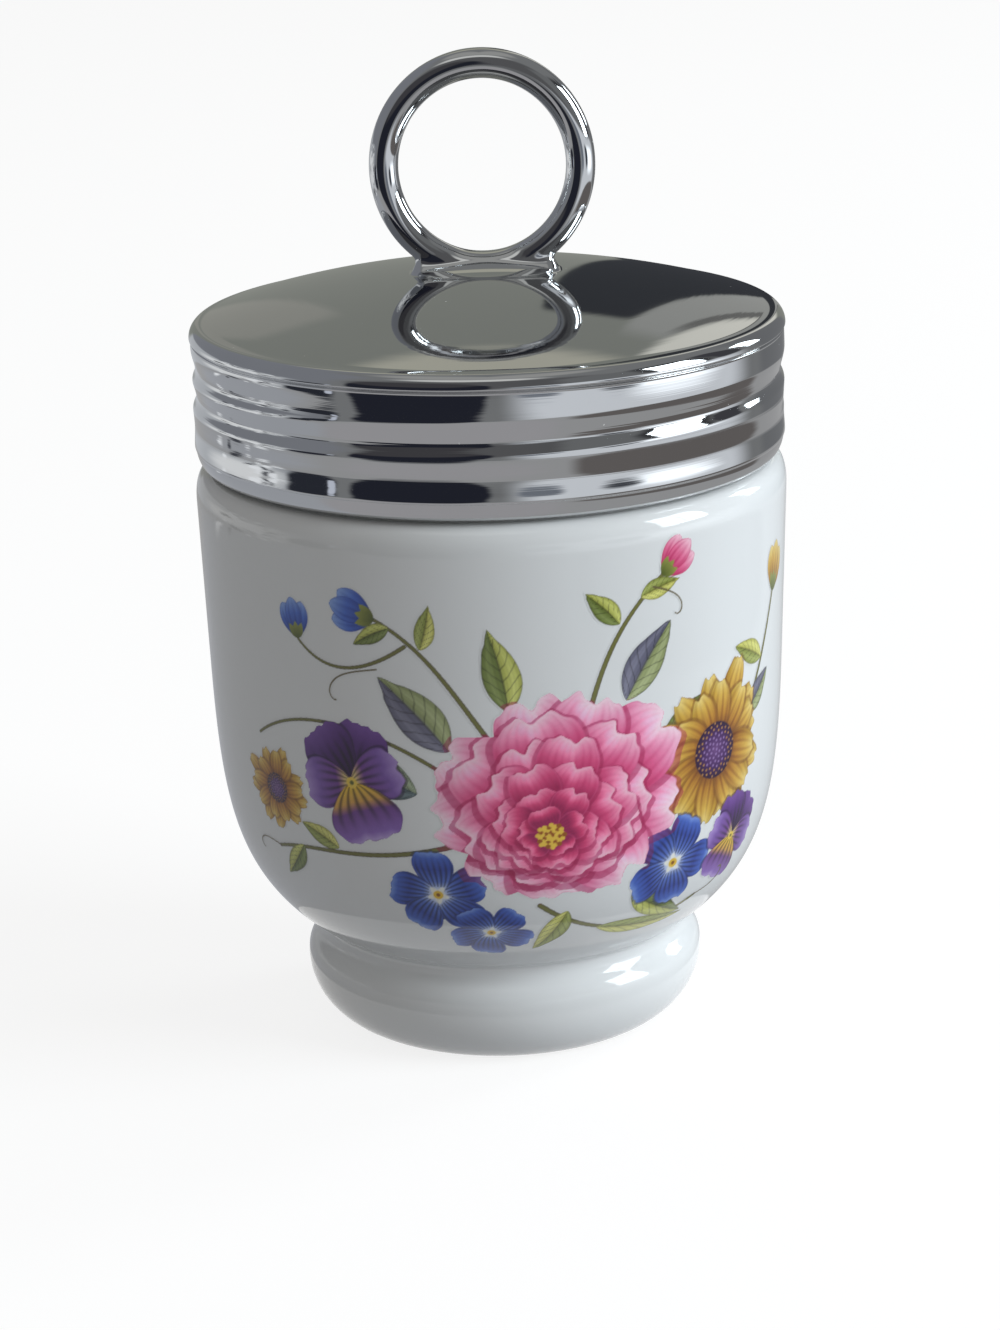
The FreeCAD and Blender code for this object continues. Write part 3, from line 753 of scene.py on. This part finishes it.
def pansy(canvas, place, size, seed, tilt):
    """Two dark upper petals, two violet side petals and a broad lower one with a golden throat."""
    rng = np.random.default_rng(seed)
    spot = Spot(canvas, place, size * 1.3, tilt)
    fall = (1.05, 1.08, 0.0, 0.4, (0.10, 0.04, 0.16))
    dark = [(0.2, (0.20, 0.08, 0.30)), (0.6, (0.32, 0.16, 0.46)), (1.0, (0.48, 0.32, 0.64))]
    mid = [(0.12, (0.90, 0.80, 0.55)), (0.30, (0.45, 0.26, 0.58)), (0.7, (0.50, 0.36, 0.68)),
           (1.0, (0.70, 0.60, 0.84))]
    low = [(0.10, (0.92, 0.76, 0.26)), (0.32, (0.86, 0.66, 0.34)), (0.48, (0.46, 0.28, 0.58)),
           (0.85, (0.56, 0.42, 0.74)), (1.0, (0.78, 0.70, 0.90))]
    for heading, reach, breadth, tones in ((64, 1.0, 0.95, dark), (116, 1.0, 0.95, dark),
                                           (8, 0.88, 0.82, mid), (172, 0.88, 0.82, mid),
                                           (270, 0.98, 1.25, low)):
        phase = rng.uniform(0.0, 6.0)
        angle = math.radians(heading + 3.0 * rng.normal())
        cover, along, side, edge = spot.upper_petal(
            fall, angle, size * reach, size * breadth, fullness=1.5, blunt=0.42, notch=0.05,
            ruffle=0.02, phase=phase)
        mark = streaks(side, along, 6.0, phase) ** 2 * smooth_step((0.8 - along) / 0.5)
        ink = ramp(along, *tones) * (1.0 - 0.45 * mark)[..., None]
        spot.rimmed(cover, ink, edge, 0.2, 0.4, (0.28, 0.15, 0.38))
    spot.disc(0.09 * size, (0.93, 0.80, 0.34))
    spot.disc(0.035 * size, (0.40, 0.42, 0.18))


def bell(canvas, root, heading, size, tones):
    """A small trumpet seen from the side, with a green calyx at its root."""
    angle = math.radians(heading)
    spot = Spot(canvas, root, size * 1.5)
    for spread, reach in ((0.34, 0.93), (-0.34, 0.93), (0.0, 1.0)):
        cover, along, side, edge = spot.petal(angle + spread, size * reach, size * 0.50,
                                              fullness=1.3, blunt=0.6, phase=spread * 9.0)
        ink = petal_ink(along, side, tones, 3.0, 2.0 + spread, 0.22)
        spot.rimmed(cover, ink, edge, 0.18, 0.45, tones[0][1])
    for spread in (0.5, -0.5, 0.0):
        cover, along, _, _ = spot.petal(angle + spread, size * 0.42, size * 0.2, fullness=0.9, blunt=0.9)
        spot.lay(cover, ramp(along, (0.0, (0.34, 0.38, 0.18)), (1.0, (0.62, 0.64, 0.32))))


BLUE_BELL = [(0.0, (0.14, 0.22, 0.54)), (0.6, (0.30, 0.45, 0.82)), (1.0, (0.60, 0.72, 0.94))]
PINK_BUD = [(0.0, (0.70, 0.12, 0.32)), (0.6, (0.92, 0.46, 0.62)), (1.0, (0.99, 0.84, 0.89))]
GOLD_BUD = [(0.0, (0.50, 0.32, 0.10)), (0.6, (0.85, 0.68, 0.28)), (1.0, (0.95, 0.87, 0.56))]

# Each row is a drawing function and its arguments, in the order in which they are printed.
FRONT_SPRAY = (
    (stem, (2, 34), (-4, 42), (-6, 47), (-12, 50)),
    (stem, (8, 36), (10, 45), (12, 49), (17, 53)),
    (stem, (-2, 28), (-14, 24), (-20, 26), (-27, 24)),
    (stem, (14, 30), (24, 28), (30, 33), (36, 47)),
    (stem, (4, 20), (10, 15), (18, 14), (25, 17)),
    (stem, (-9, 47.5), (-14, 44), (-18, 44), (-21, 47), 0.3),
    (stem, (-6, 35), (-14, 40), (-22, 40), (-28, 36), 0.32),
    (leaf, (-5, 37), 128, 10, 4.6, "grey", 0.10),
    (leaf, (-8.5, 32.5), 158, 9.5, 4.2, "blue", -0.10),
    (leaf, (1, 41), 96, 8.5, 3.8, "olive", 0.12),
    (leaf, (13, 41), 62, 9, 4, "grey", -0.12),
    (leaf, (17, 36), 20, 9, 4, "olive", 0.10),
    (leaf, (-3, 22), 205, 8, 3, "olive", 0.16),
    (leaf, (7, 19), 250, 6.5, 2.6, "lime", -0.14),
    (leaf, (15, 20), 320, 9, 3, "olive", 0.14),
    (leaf, (12, 16), 345, 11, 2.3, "lime", 0.16),
    (leaf, (-18, 25.6), 150, 5, 2.2, "lime", 0.1),
    (leaf, (-23, 25), 235, 5.5, 2.2, "olive", -0.1),
    (leaf, (30, 36), 30, 6, 2.8, "grey", 0.1),
    (leaf, (33, 41), 150, 6, 2.6, "lime", 0.1),
    (leaf, (12.3, 48.8), 130, 5, 2.4, "olive", 0.1),
    (leaf, (14.6, 51.2), 20, 4.6, 2.1, "lime", -0.1),
    (leaf, (-7.5, 47.2), 70, 4.6, 2.1, "lime", 0.12),
    (leaf, (-10.5, 49.3), 200, 4.4, 1.9, "olive", 0.12),
    (periwinkle, (-7, 21.5), 5, 5, 20),
    (pansy, (-15.5, 33), 6.6, 8, 14),
    (gold_daisy, (24.5, 33.5), 8.6, 3, 12, 10),
    (periwinkle, (19.5, 22.5), 5.2, 11, -12),
    (peony, (5.5, 30), 12.4, 21),
    (periwinkle, (-1.5, 16.5), 4.2, 12, 44, 0.9),
    (pansy, (29, 23), 5, 9, -20),
    (gold_daisy, (-26, 30.5), 4.6, 14, 9, 30),
    (bell, (-12, 50), 165, 5, BLUE_BELL),
    (bell, (-21, 47), 100, 4.2, BLUE_BELL),
    (bell, (17, 53), 40, 4.6, PINK_BUD),
    (bell, (36, 47), 75, 5.2, GOLD_BUD),
    (tendril, (-12, 45), 190, 12, 0.5),
    (tendril, (16, 52), -20, 9, -0.6),
    (tendril, (-27, 24), 170, 8, 0.5),
    (tendril, (25, 17), 10, 9, 0.6),
)
BACK_SPRAY = (
    (stem, (-18, 26), (-8, 24), (4, 30), (18, 44)),
    (stem, (0, 30), (6, 24), (12, 22), (18, 24)),
    (stem, (-6, 30), (-8, 38), (-12, 44), (-16, 46)),
    (leaf, (-8, 27), 200, 8, 3.4, "olive", 0.1),
    (leaf, (6, 38), 60, 8, 3.6, "grey", 0.1),
    (leaf, (-4, 37), 120, 8, 3.6, "blue", 0.1),
    (leaf, (8, 25), 300, 7, 2.8, "lime", 0.1),
    (leaf, (12, 37), 350, 6, 2.6, "olive", 0.1),
    (leaf, (-12, 43), 210, 5, 2.2, "lime", 0.1),
    (leaf, (-10, 41), 80, 5, 2.2, "olive", 0.1),
    (periwinkle, (9.5, 31), 5.2, 31),
    (gold_daisy, (-9, 31.5), 6.6, 32, 11),
    (peony, (0, 32), 8, 33, 10),
    (bell, (18, 44), 60, 4.6, PINK_BUD),
    (bell, (-16, 46), 140, 4.4, BLUE_BELL),
    (periwinkle, (18, 24), 3.8, 34),
    (tendril, (-18, 26), 170, 9, -0.5),
)


def printed_canvas():
    """The large spray on the front and the smaller one on the far side."""
    canvas = Canvas()
    for middle, spray in ((0.0, FRONT_SPRAY), (math.pi * BELLY_RADIUS, BACK_SPRAY)):
        canvas.middle = middle
        for draw, *arguments in spray:
            draw(canvas, *arguments)
    return canvas


def make_print(canvas, name, from_turn, to_turn):
    """The printed part between two turns, as a thin sheet that follows the bowl."""
    count = len(canvas.turn)
    first, last = (round((turn + math.pi) * count / FULL_TURN) for turn in (from_turn, to_turn))
    columns = np.arange(first, last + 1)
    cover = canvas.cover[:, columns % count]
    inked = cover > INKED
    cell = inked[:-1, :-1] | inked[1:, :-1] | inked[:-1, 1:] | inked[1:, 1:]
    rows, cols = np.nonzero(cell)
    width = len(columns)
    corner = rows * width + cols
    quads = np.stack([corner, corner + 1, corner + width + 1, corner + width], -1)
    used = np.unique(quads)
    renumber = np.full(cover.size, -1)
    renumber[used] = np.arange(len(used))
    row, column = used // width, used % width
    slope = np.gradient(canvas.radius, canvas.up)
    rise = np.gradient(canvas.height, canvas.up)
    size = np.hypot(slope, rise)
    radius = (canvas.radius + PRINT_LIFT * rise / size)[row]
    height = (canvas.height - PRINT_LIFT * slope / size)[row]
    turn = columns[column] * FULL_TURN / count - math.pi
    points = np.stack([radius * np.sin(turn), -radius * np.cos(turn), height], -1)
    piece = new_mesh(name, points, renumber[quads])
    ink = canvas.ink[:, columns % count].reshape(-1, 3)[used]
    linear = np.where(ink <= 0.04045, ink / 12.92, ((ink + 0.055) / 1.055) ** 2.4)
    paint(piece, "print", linear, cover.reshape(-1, 1)[used])
    return piece


# ==== materials
def new_material(name):
    material = bpy.data.materials.new(name)
    material.use_nodes = True
    tree = material.node_tree
    return material, tree, tree.nodes["Principled BSDF"]


def connect(tree, node, inputs):
    """Gives each named or numbered input of a node its socket or plain value."""
    for key, value in inputs.items():
        if isinstance(value, bpy.types.NodeSocket):
            tree.links.new(value, node.inputs[key])
        else:
            node.inputs[key].default_value = value


def add(tree, kind, inputs=None, **settings):
    node = tree.nodes.new(kind)
    for key, value in settings.items():
        setattr(node, key, value)
    connect(tree, node, inputs or {})
    return node


def noise(tree, scale, detail=2.0, roughness=0.5, stretch=(1.0, 1.0, 1.0)):
    """Noise over the object's own coordinates, with its scale per metre."""
    place = add(tree, "ShaderNodeTexCoord")
    mapping = add(tree, "ShaderNodeMapping", {"Vector": place.outputs["Object"], "Scale": stretch})
    texture = add(tree, "ShaderNodeTexNoise", {"Vector": mapping.outputs["Vector"], "Scale": scale,
                                               "Detail": detail, "Roughness": roughness})
    return texture.outputs["Fac"]


def remap(tree, value, low, high):
    node = add(tree, "ShaderNodeMapRange", {"Value": value, "To Min": low, "To Max": high})
    return node.outputs["Result"]


def mix_colour(tree, factor, a, b, blend="MIX"):
    """Mixes two colours, each a socket or a plain value."""
    node = add(tree, "ShaderNodeMix", data_type="RGBA", blend_type=blend)
    connect(tree, node, {0: factor, 6: a, 7: b})
    return node.outputs[2]


def bump(tree, height, distance, strength):
    node = add(tree, "ShaderNodeBump", {"Strength": strength, "Distance": distance, "Height": height})
    return node.outputs["Normal"]


GLAZE = (0.80, 0.82, 0.83, 1.0)
GLAZE_WARM = (0.775, 0.79, 0.79, 1.0)
GLAZE_IOR = 1.54
PLATE = (0.60, 0.61, 0.62, 1.0)
PLATE_HAZY = (0.55, 0.56, 0.565, 1.0)
DUST = (0.80, 0.80, 0.78, 1.0)
DUST_CELLS = 300.0              # per metre; a speck shows where the surface comes near a cell's point
DUST_EDGE = 0.030               # distance from that point, in cells, at which a speck begins
DUST_HEART = 0.016              # and at which it is full
RUBBER = (0.60, 0.57, 0.50, 1.0)
RUBBER_DARK = (0.50, 0.47, 0.41, 1.0)


def glaze_material(name, printed):
    """Clear gloss glaze over white porcelain; the print lies under the gloss."""
    material, tree, shader = new_material(name)
    body = mix_colour(tree, remap(tree, noise(tree, 55.0, 3.0), 0.0, 1.0), GLAZE, GLAZE_WARM)
    if printed:
        ink = add(tree, "ShaderNodeVertexColor", layer_name="print")
        grain = remap(tree, noise(tree, 2600.0), 0.90, 1.06)
        speck = add(tree, "ShaderNodeCombineColor", {0: grain, 1: grain, 2: grain})
        tinted = mix_colour(tree, 1.0, ink.outputs["Color"], speck.outputs["Color"], "MULTIPLY")
        body = mix_colour(tree, ink.outputs["Alpha"], body, tinted)
    connect(tree, shader, {"Base Color": body, "IOR": GLAZE_IOR,
                           "Roughness": remap(tree, noise(tree, 90.0), 0.035, 0.075),
                           "Normal": bump(tree, noise(tree, 120.0, 1.0), 0.00003, 0.35)})
    return material


def chrome_material(name, turned):
    """Bright plate with faint polishing haze and a few specks of dust. The turned kind has
    fine lines round the axis, deepest where the thread is rolled in."""
    material, tree, shader = new_material(name)
    colour = mix_colour(tree, remap(tree, noise(tree, 70.0, 4.0, 0.6), 0.0, 1.0), PLATE, PLATE_HAZY)
    place = add(tree, "ShaderNodeTexCoord")
    dust = add(tree, "ShaderNodeTexVoronoi", {"Vector": place.outputs["Object"], "Scale": DUST_CELLS},
               feature="F1")
    speck = add(tree, "ShaderNodeMapRange", {"Value": dust.outputs["Distance"], "From Min": DUST_EDGE,
                                             "From Max": DUST_HEART}).outputs["Result"]
    if turned:
        rolled = add(tree, "ShaderNodeAttribute", attribute_name="rolled").outputs["Fac"]
        lines = add(tree, "ShaderNodeMath", {0: noise(tree, 90.0, 2.0, 0.5, (0.10, 0.10, 32.0)),
                                             1: remap(tree, rolled, 0.15, 1.0)}, operation="MULTIPLY")
        normal = bump(tree, lines.outputs[0], 0.00004, 0.8)
    else:
        normal = bump(tree, noise(tree, 240.0), 0.00001, 0.25)
    connect(tree, shader, {"Base Color": mix_colour(tree, speck, colour, DUST),
                           "Metallic": remap(tree, speck, 1.0, 0.25),
                           "Roughness": remap(tree, noise(tree, 160.0, 4.0, 0.6), 0.02, 0.06),
                           "Normal": normal})
    return material


def rubber_material(name):
    material, tree, shader = new_material(name)
    colour = mix_colour(tree, remap(tree, noise(tree, 900.0, 4.0), 0.0, 1.0), RUBBER, RUBBER_DARK)
    connect(tree, shader, {"Base Color": colour,
                           "Roughness": remap(tree, noise(tree, 500.0), 0.50, 0.72),
                           "Normal": bump(tree, noise(tree, 1500.0, 3.0), 0.00005, 0.5)})
    return material


def finish(piece, material, body, slot, *nodes):
    piece.data.materials.clear()
    piece.data.materials.append(material)
    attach(piece, body)
    if nodes:
        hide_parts(*nodes)


# ==== stage
def direction(azimuth, elevation):
    """Unit vector: azimuth 0 towards the camera's side, 90 to the right, in degrees."""
    a, e = math.radians(azimuth), math.radians(elevation)
    return Vector((math.sin(a) * math.cos(e), -math.cos(a) * math.cos(e), math.sin(e)))


AIM = Vector((0.0, 0.0, 0.055))  # of the lamps
WORLD_LIGHT = (0.33, 0.322, 0.31, 1.0)  # as soft light on the object
WORLD_SEEN = (1.0, 1.0, 1.0, 1.0)       # as the camera and reflections see it
FLOOR_LIGHT = (0.42, 0.42, 0.43, 1.0)   # the same two kinds of rays on the floor
FLOOR_SEEN = (0.9, 0.9, 0.9, 1.0)
FLOOR_REACH = 4.0
FLOOR_GLOW = 1.14
FLOOR_GLOW_SHARE = 0.72         # share of that glow in the floor as it is seen
PICTURE_HEIGHT = 1330.0         # pixels
FOCAL_LENGTH = 3800.0           # in those pixels
SENSOR = 36.0
CAMERA_PLACE = Vector((0.0, -0.3757, 0.15048))
CAMERA_PITCH = 0.2937           # radians, downwards
CAMERA_ROLL = -0.0290
CAMERA_YAW = -0.0009


def lamp(name, azimuth, elevation, distance, width, height, power, colour):
    light = bpy.data.lights.new(name, "AREA")
    light.shape = "RECTANGLE"
    light.size = width
    light.size_y = height
    light.energy = power
    light.color = colour
    holder = new_object(name, light)
    holder.location = AIM + direction(azimuth, elevation) * distance
    holder.rotation_euler = (AIM - holder.location).to_track_quat("-Z", "Y").to_euler()
    holder.visible_glossy = False


def background_share(tree):
    """1 for rays from the camera and for reflected or refracted ones, else 0."""
    path = add(tree, "ShaderNodeLightPath")
    total = path.outputs["Is Camera Ray"]
    for kind in ("Is Glossy Ray", "Is Transmission Ray"):
        most = add(tree, "ShaderNodeMath", {0: total, 1: path.outputs[kind]}, operation="MAXIMUM")
        total = most.outputs[0]
    return total


def make_world():
    world = bpy.data.worlds.new("studio")
    bpy.context.scene.world = world
    world.use_nodes = True
    tree = world.node_tree
    colour = mix_colour(tree, background_share(tree), WORLD_LIGHT, WORLD_SEEN)
    connect(tree, tree.nodes["Background"], {"Color": colour})


def make_floor():
    mesh = bpy.data.meshes.new("floor")
    corners = [(x * FLOOR_REACH, y * FLOOR_REACH, 0.0) for x, y in ((-1, -1), (1, -1), (1, 1), (-1, 1))]
    mesh.from_pydata(corners, [], [(0, 1, 2, 3)])
    floor = new_object("floor", mesh)
    material, tree, shader = new_material("floor_paper")
    seen = background_share(tree)
    connect(tree, shader, {"Base Color": mix_colour(tree, seen, FLOOR_LIGHT, FLOOR_SEEN),
                           "Roughness": 0.9, "Specular IOR Level": 0.0})
    glow = add(tree, "ShaderNodeEmission", {"Strength": FLOOR_GLOW})
    share = add(tree, "ShaderNodeMath", {0: seen, 1: FLOOR_GLOW_SHARE}, operation="MULTIPLY")
    mix = add(tree, "ShaderNodeMixShader", {0: share.outputs[0], 1: shader.outputs["BSDF"],
                                            2: glow.outputs["Emission"]})
    connect(tree, tree.nodes["Material Output"], {"Surface": mix.outputs["Shader"]})
    mesh.materials.append(material)


SURROUND_REACH = 1.5
EYE_HEIGHT = 0.066              # the surround is laid out as seen from the lid's middle
TABLE_LEVEL = -13.3             # elevation down to which the room shows; the table is below
TABLE_FADE = 0.9
TABLE_HEIGHT = 0.0006           # of the lower part of the surround, just over the floor

# The surround glows with these cards as painted reflections of a room, and only reflections see them.
# Soft-edged cards: middle azimuth and elevation, half width and half height in degrees, how
# square they are (2 is an ellipse), share of the half size over which they fade, and colour.
# Azimuth 0 is towards the camera, 90 to the right. Later ones lie over earlier ones.
ROOM_REFLECTION_CARDS = (
    # walls on the left, with a pale cloth low down
    (-118, 20, 62, 44, 6, 0.2, (0.26, 0.27, 0.30)),
    (-125, -6, 55, 11, 5, 0.3, (0.55, 0.57, 0.60)),
    (-110, -7, 34, 7, 3, 0.5, (0.95, 0.96, 0.97)),
    # wall in front and on the right, pale under the windows and brightest at the sill
    (0, 24, 60, 34, 4, 0.35, (0.13, 0.13, 0.135)),
    (62, 22, 40, 22, 4, 0.25, (0.20, 0.205, 0.21)),
    (60, -5, 58, 12, 5, 0.3, (0.85, 0.88, 0.93)),
    (74, -5, 30, 6.5, 2.5, 0.6, (1.95, 2.05, 2.15)),
    # things before it: a blue-grey box, a dark bottle, a post between the windows
    (18, -4, 11, 5, 3, 0.4, (0.22, 0.24, 0.28)),
    (50, -4.5, 12, 4.5, 2.5, 0.5, (0.07, 0.075, 0.09)),
    (104, 22, 9, 22, 4, 0.3, (0.07, 0.07, 0.08)),
    (142, 10, 22, 34, 4, 0.3, (0.20, 0.205, 0.215)),
    # the room behind: wall, bright side, doorway with its frame, and a pale panel
    (180, 24, 25, 36, 6, 0.15, (0.265, 0.275, 0.25)),
    (161.5, 31, 5, 22, 6, 0.25, (0.80, 0.79, 0.72)),
    (167.8, 14, 2.2, 23, 8, 0.25, (0.36, 0.365, 0.35)),
    (166.3, 16, 0.5, 18, 8, 0.4, (0.17, 0.17, 0.165)),
    (173, 10, 3.5, 21.5, 12, 0.1, (0.042, 0.045, 0.052)),
    (-168, 14, 3.5, 13.5, 8, 0.3, (0.33, 0.33, 0.30)),
    (180, 49, 34, 8.5, 4, 0.45, (0.52, 0.51, 0.43)),
    # overhead
    (0, 90, 180, 26, 8, 0.3, (0.42, 0.42, 0.41)),
    (-10, 58, 50, 9, 3, 0.5, (0.80, 0.80, 0.78)),
    # painted windows that glow, the wide one with a cross bar, and the darker wall round it; they give the
    # painted highlights
    (78, 24, 21, 22, 4, 0.35, (0.06, 0.06, 0.065)),
    (78, 20.5, 12, 15.5, 12, 0.06, (8.0, 8.8, 9.2)),
    (121.5, 19, 5.5, 11, 12, 0.1, (7.0, 7.8, 8.2)),
    (78, 20.5, 0.9, 16, 12, 0.3, (3.0, 3.2, 3.4)),
    (78, 22, 12.5, 0.8, 12, 0.3, (3.0, 3.2, 3.4)),
)
TABLE_REFLECTION_CARDS = (
    (-110, -40, 56, 28, 4, 0.2, (0.46, 0.475, 0.51)),
    (-20, -36, 50, 22, 4, 0.2, (0.45, 0.44, 0.455)),
    (76, -19, 50, 6.5, 3.5, 0.16, (0.175, 0.16, 0.155)),
)
NEAR_REFLECTION_CARDS = (
    # painted reflections before table and room: a low dark flask with its highlight, and a dark stand and
    # chair
    (-70, -9.5, 13, 5, 2.5, 0.3, (0.03, 0.033, 0.045)),
    (-61, -8, 2, 2.5, 3, 0.4, (0.70, 0.74, 0.85)),
    (-27, 6, 29, 22, 4, 0.1, (0.022, 0.024, 0.036)),
    (-30, 24, 30, 18, 2.5, 0.35, (0.07, 0.068, 0.075)),
)
# painted reflection tones of the room and of the table, under the cards
WALL_REFLECTION_TONE = (0.25, 0.255, 0.26)
TABLE_REFLECTION_TONE = (0.43, 0.43, 0.435)
GLINT_REFLECTION_TONE = (1.10, 1.12, 1.15)  # crumpled film on the left, painted as small glints and folds that only reflections show
FOLD_REFLECTION_TONE = (0.07, 0.075, 0.09)
FILM_REFLECTION_MARKS = 55


def turn_from(azimuth, middle):
    """Degrees from a middle, from -180 to 180."""
    return (azimuth - middle + 180.0) % 360.0 - 180.0


def over(light, azimuth, elevation, *cards):
    """Lays cards over the light."""
    for middle, level, half_width, half_height, squareness, fade, colour in cards:
        across = np.abs(turn_from(azimuth, middle)) / half_width
        reach = across ** squareness + np.abs((elevation - level) / half_height) ** squareness
        inside = smooth_step((1.0 - reach ** (1.0 / squareness)) / fade)
        light = towards(light, colour, inside)
    return light


def card_light(azimuth, elevation):
    """Painted light that the surround glows with in each direction, in degrees."""
    table = over(np.ones(azimuth.shape + (3,)) * TABLE_REFLECTION_TONE, azimuth, elevation, *TABLE_REFLECTION_CARDS)
    room = over(np.ones(azimuth.shape + (3,)) * WALL_REFLECTION_TONE, azimuth, elevation, *ROOM_REFLECTION_CARDS)
    above = smooth_step((elevation - TABLE_LEVEL) / TABLE_FADE + 0.5)[..., None]
    light = over(table * (1.0 - above) + room * above, azimuth, elevation, *NEAR_REFLECTION_CARDS)
    # painted glints and dark folds of film, which only reflections show
    rng = np.random.default_rng(4)
    for number in range(FILM_REFLECTION_MARKS):
        middle, level = rng.uniform(-132.0, -84.0), rng.uniform(-17.3, 3.0)
        half_width, half_height = rng.uniform(1.5, 6.5), rng.uniform(0.4, 1.7)
        tilted = elevation - rng.normal(0.0, 0.12) * turn_from(azimuth, middle)
        tone = GLINT_REFLECTION_TONE if number % 5 < 3 else FOLD_REFLECTION_TONE
        light = over(light, azimuth, tilted, (middle, level, half_width, half_height, 2.2, 0.8, tone))
    return light


def surround_part(name, radius, height, material):
    """A ring-shaped part of the surround, through rows of radius and height in metres."""
    angle = np.radians(np.concatenate([np.arange(start, end, step) for start, end, step in (
        (0.0, 160.0, 0.4), (160.0, 200.0, 0.2), (200.0, 360.0, 0.4))]))
    columns = len(angle)
    azimuth = np.repeat(np.degrees(angle)[None, :], len(radius), 0)
    elevation = np.degrees(np.arctan2(height - EYE_HEIGHT, radius))
    elevation = np.repeat(elevation[:, None], columns, 1)
    points = np.stack([radius[:, None] * np.sin(angle), -radius[:, None] * np.cos(angle),
                       np.repeat(height[:, None], columns, 1)], -1).reshape(-1, 3)
    piece = new_mesh(name, points / MM, wrapped_quads(np.arange(len(points)).reshape(-1, columns)))
    paint(piece, "light", card_light(azimuth, elevation).reshape(-1, 3), np.ones((len(points), 1)))
    piece.data.materials.append(material)
    for kind in ("camera", "diffuse", "shadow", "transmission"):
        setattr(piece, "visible_" + kind, False)


def make_surround():
    """What only reflections see: a flat part just over the floor and a dome for the room, which glow with
    painted light, a painted reflection of a room and its windows.
    """
    material, tree, shader = new_material("surround_light")
    tree.nodes.remove(shader)
    stored = add(tree, "ShaderNodeVertexColor", layer_name="light")
    glow = add(tree, "ShaderNodeEmission", {"Color": stored.outputs["Color"]})
    connect(tree, tree.nodes["Material Output"], {"Surface": glow.outputs["Emission"]})
    material.cycles.emission_sampling = "NONE"
    flat = np.geomspace(0.03, SURROUND_REACH * 1.02, 260)
    surround_part("surround_table", flat, np.full(len(flat), TABLE_HEIGHT), material)
    level = np.radians(np.linspace(-3.5, 89.9, 300))
    surround_part("surround_room", SURROUND_REACH * np.cos(level),
                  EYE_HEIGHT + SURROUND_REACH * np.sin(level), material)


def make_lamps():
    lamp("window_front_right", 70.0, 22.0, 1.3, 0.75, 0.60, 14.2, (0.88, 0.95, 1.0))
    lamp("window_back_right", 121.0, 20.0, 1.3, 0.30, 0.45, 4.0, (0.88, 0.95, 1.0))


def make_camera():
    data = bpy.data.cameras.new("camera")
    data.sensor_width = SENSOR
    data.lens = FOCAL_LENGTH * SENSOR / PICTURE_HEIGHT
    holder = new_object("camera", data)
    right = Vector((math.cos(CAMERA_YAW), math.sin(CAMERA_YAW), 0.0))
    level = Vector((-math.sin(CAMERA_YAW), math.cos(CAMERA_YAW), 0.0))
    up = Vector((0.0, 0.0, 1.0))
    forward = level * math.cos(CAMERA_PITCH) - up * math.sin(CAMERA_PITCH)
    upward = level * math.sin(CAMERA_PITCH) + up * math.cos(CAMERA_PITCH)
    side = right * math.cos(CAMERA_ROLL) + upward * math.sin(CAMERA_ROLL)
    top = upward * math.cos(CAMERA_ROLL) - right * math.sin(CAMERA_ROLL)
    matrix = Matrix((side, top, -forward)).transposed().to_4x4()
    matrix.translation = CAMERA_PLACE
    holder.matrix_world = matrix
    bpy.context.scene.camera = holder


def main():
    chrome_turned = chrome_material("chrome_turned", True)
    chrome_drawn = chrome_material("chrome_drawn", False)
    glaze = glaze_material("porcelain_glaze", False)
    printed = glaze_material("porcelain_print", True)
    finish(make_cup(), glaze, "cup", "porcelain", "porcelain_cup")
    finish(make_lid(), chrome_turned, "lid", "plated_metal", "lid_cap")
    finish(make_ring(), chrome_drawn, "lid", "plated_metal", "finger_ring", "ring_solder")
    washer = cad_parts["sealing_washer"]
    washer.data.materials.clear()
    washer.data.materials.append(rubber_material("washer_rubber"))
    canvas = printed_canvas()
    for name, from_turn, to_turn in (("spray_front_left", -2.2, 0.12), ("spray_front_right", 0.12, 2.2),
                                     ("spray_back", 2.2, FULL_TURN - 2.2)):
        finish(make_print(canvas, name, from_turn, to_turn), printed, "cup", "porcelain")
    make_world()
    make_floor()
    make_surround()
    make_lamps()
    make_camera()
    bpy.context.scene.view_settings.view_transform = "Standard"


main()
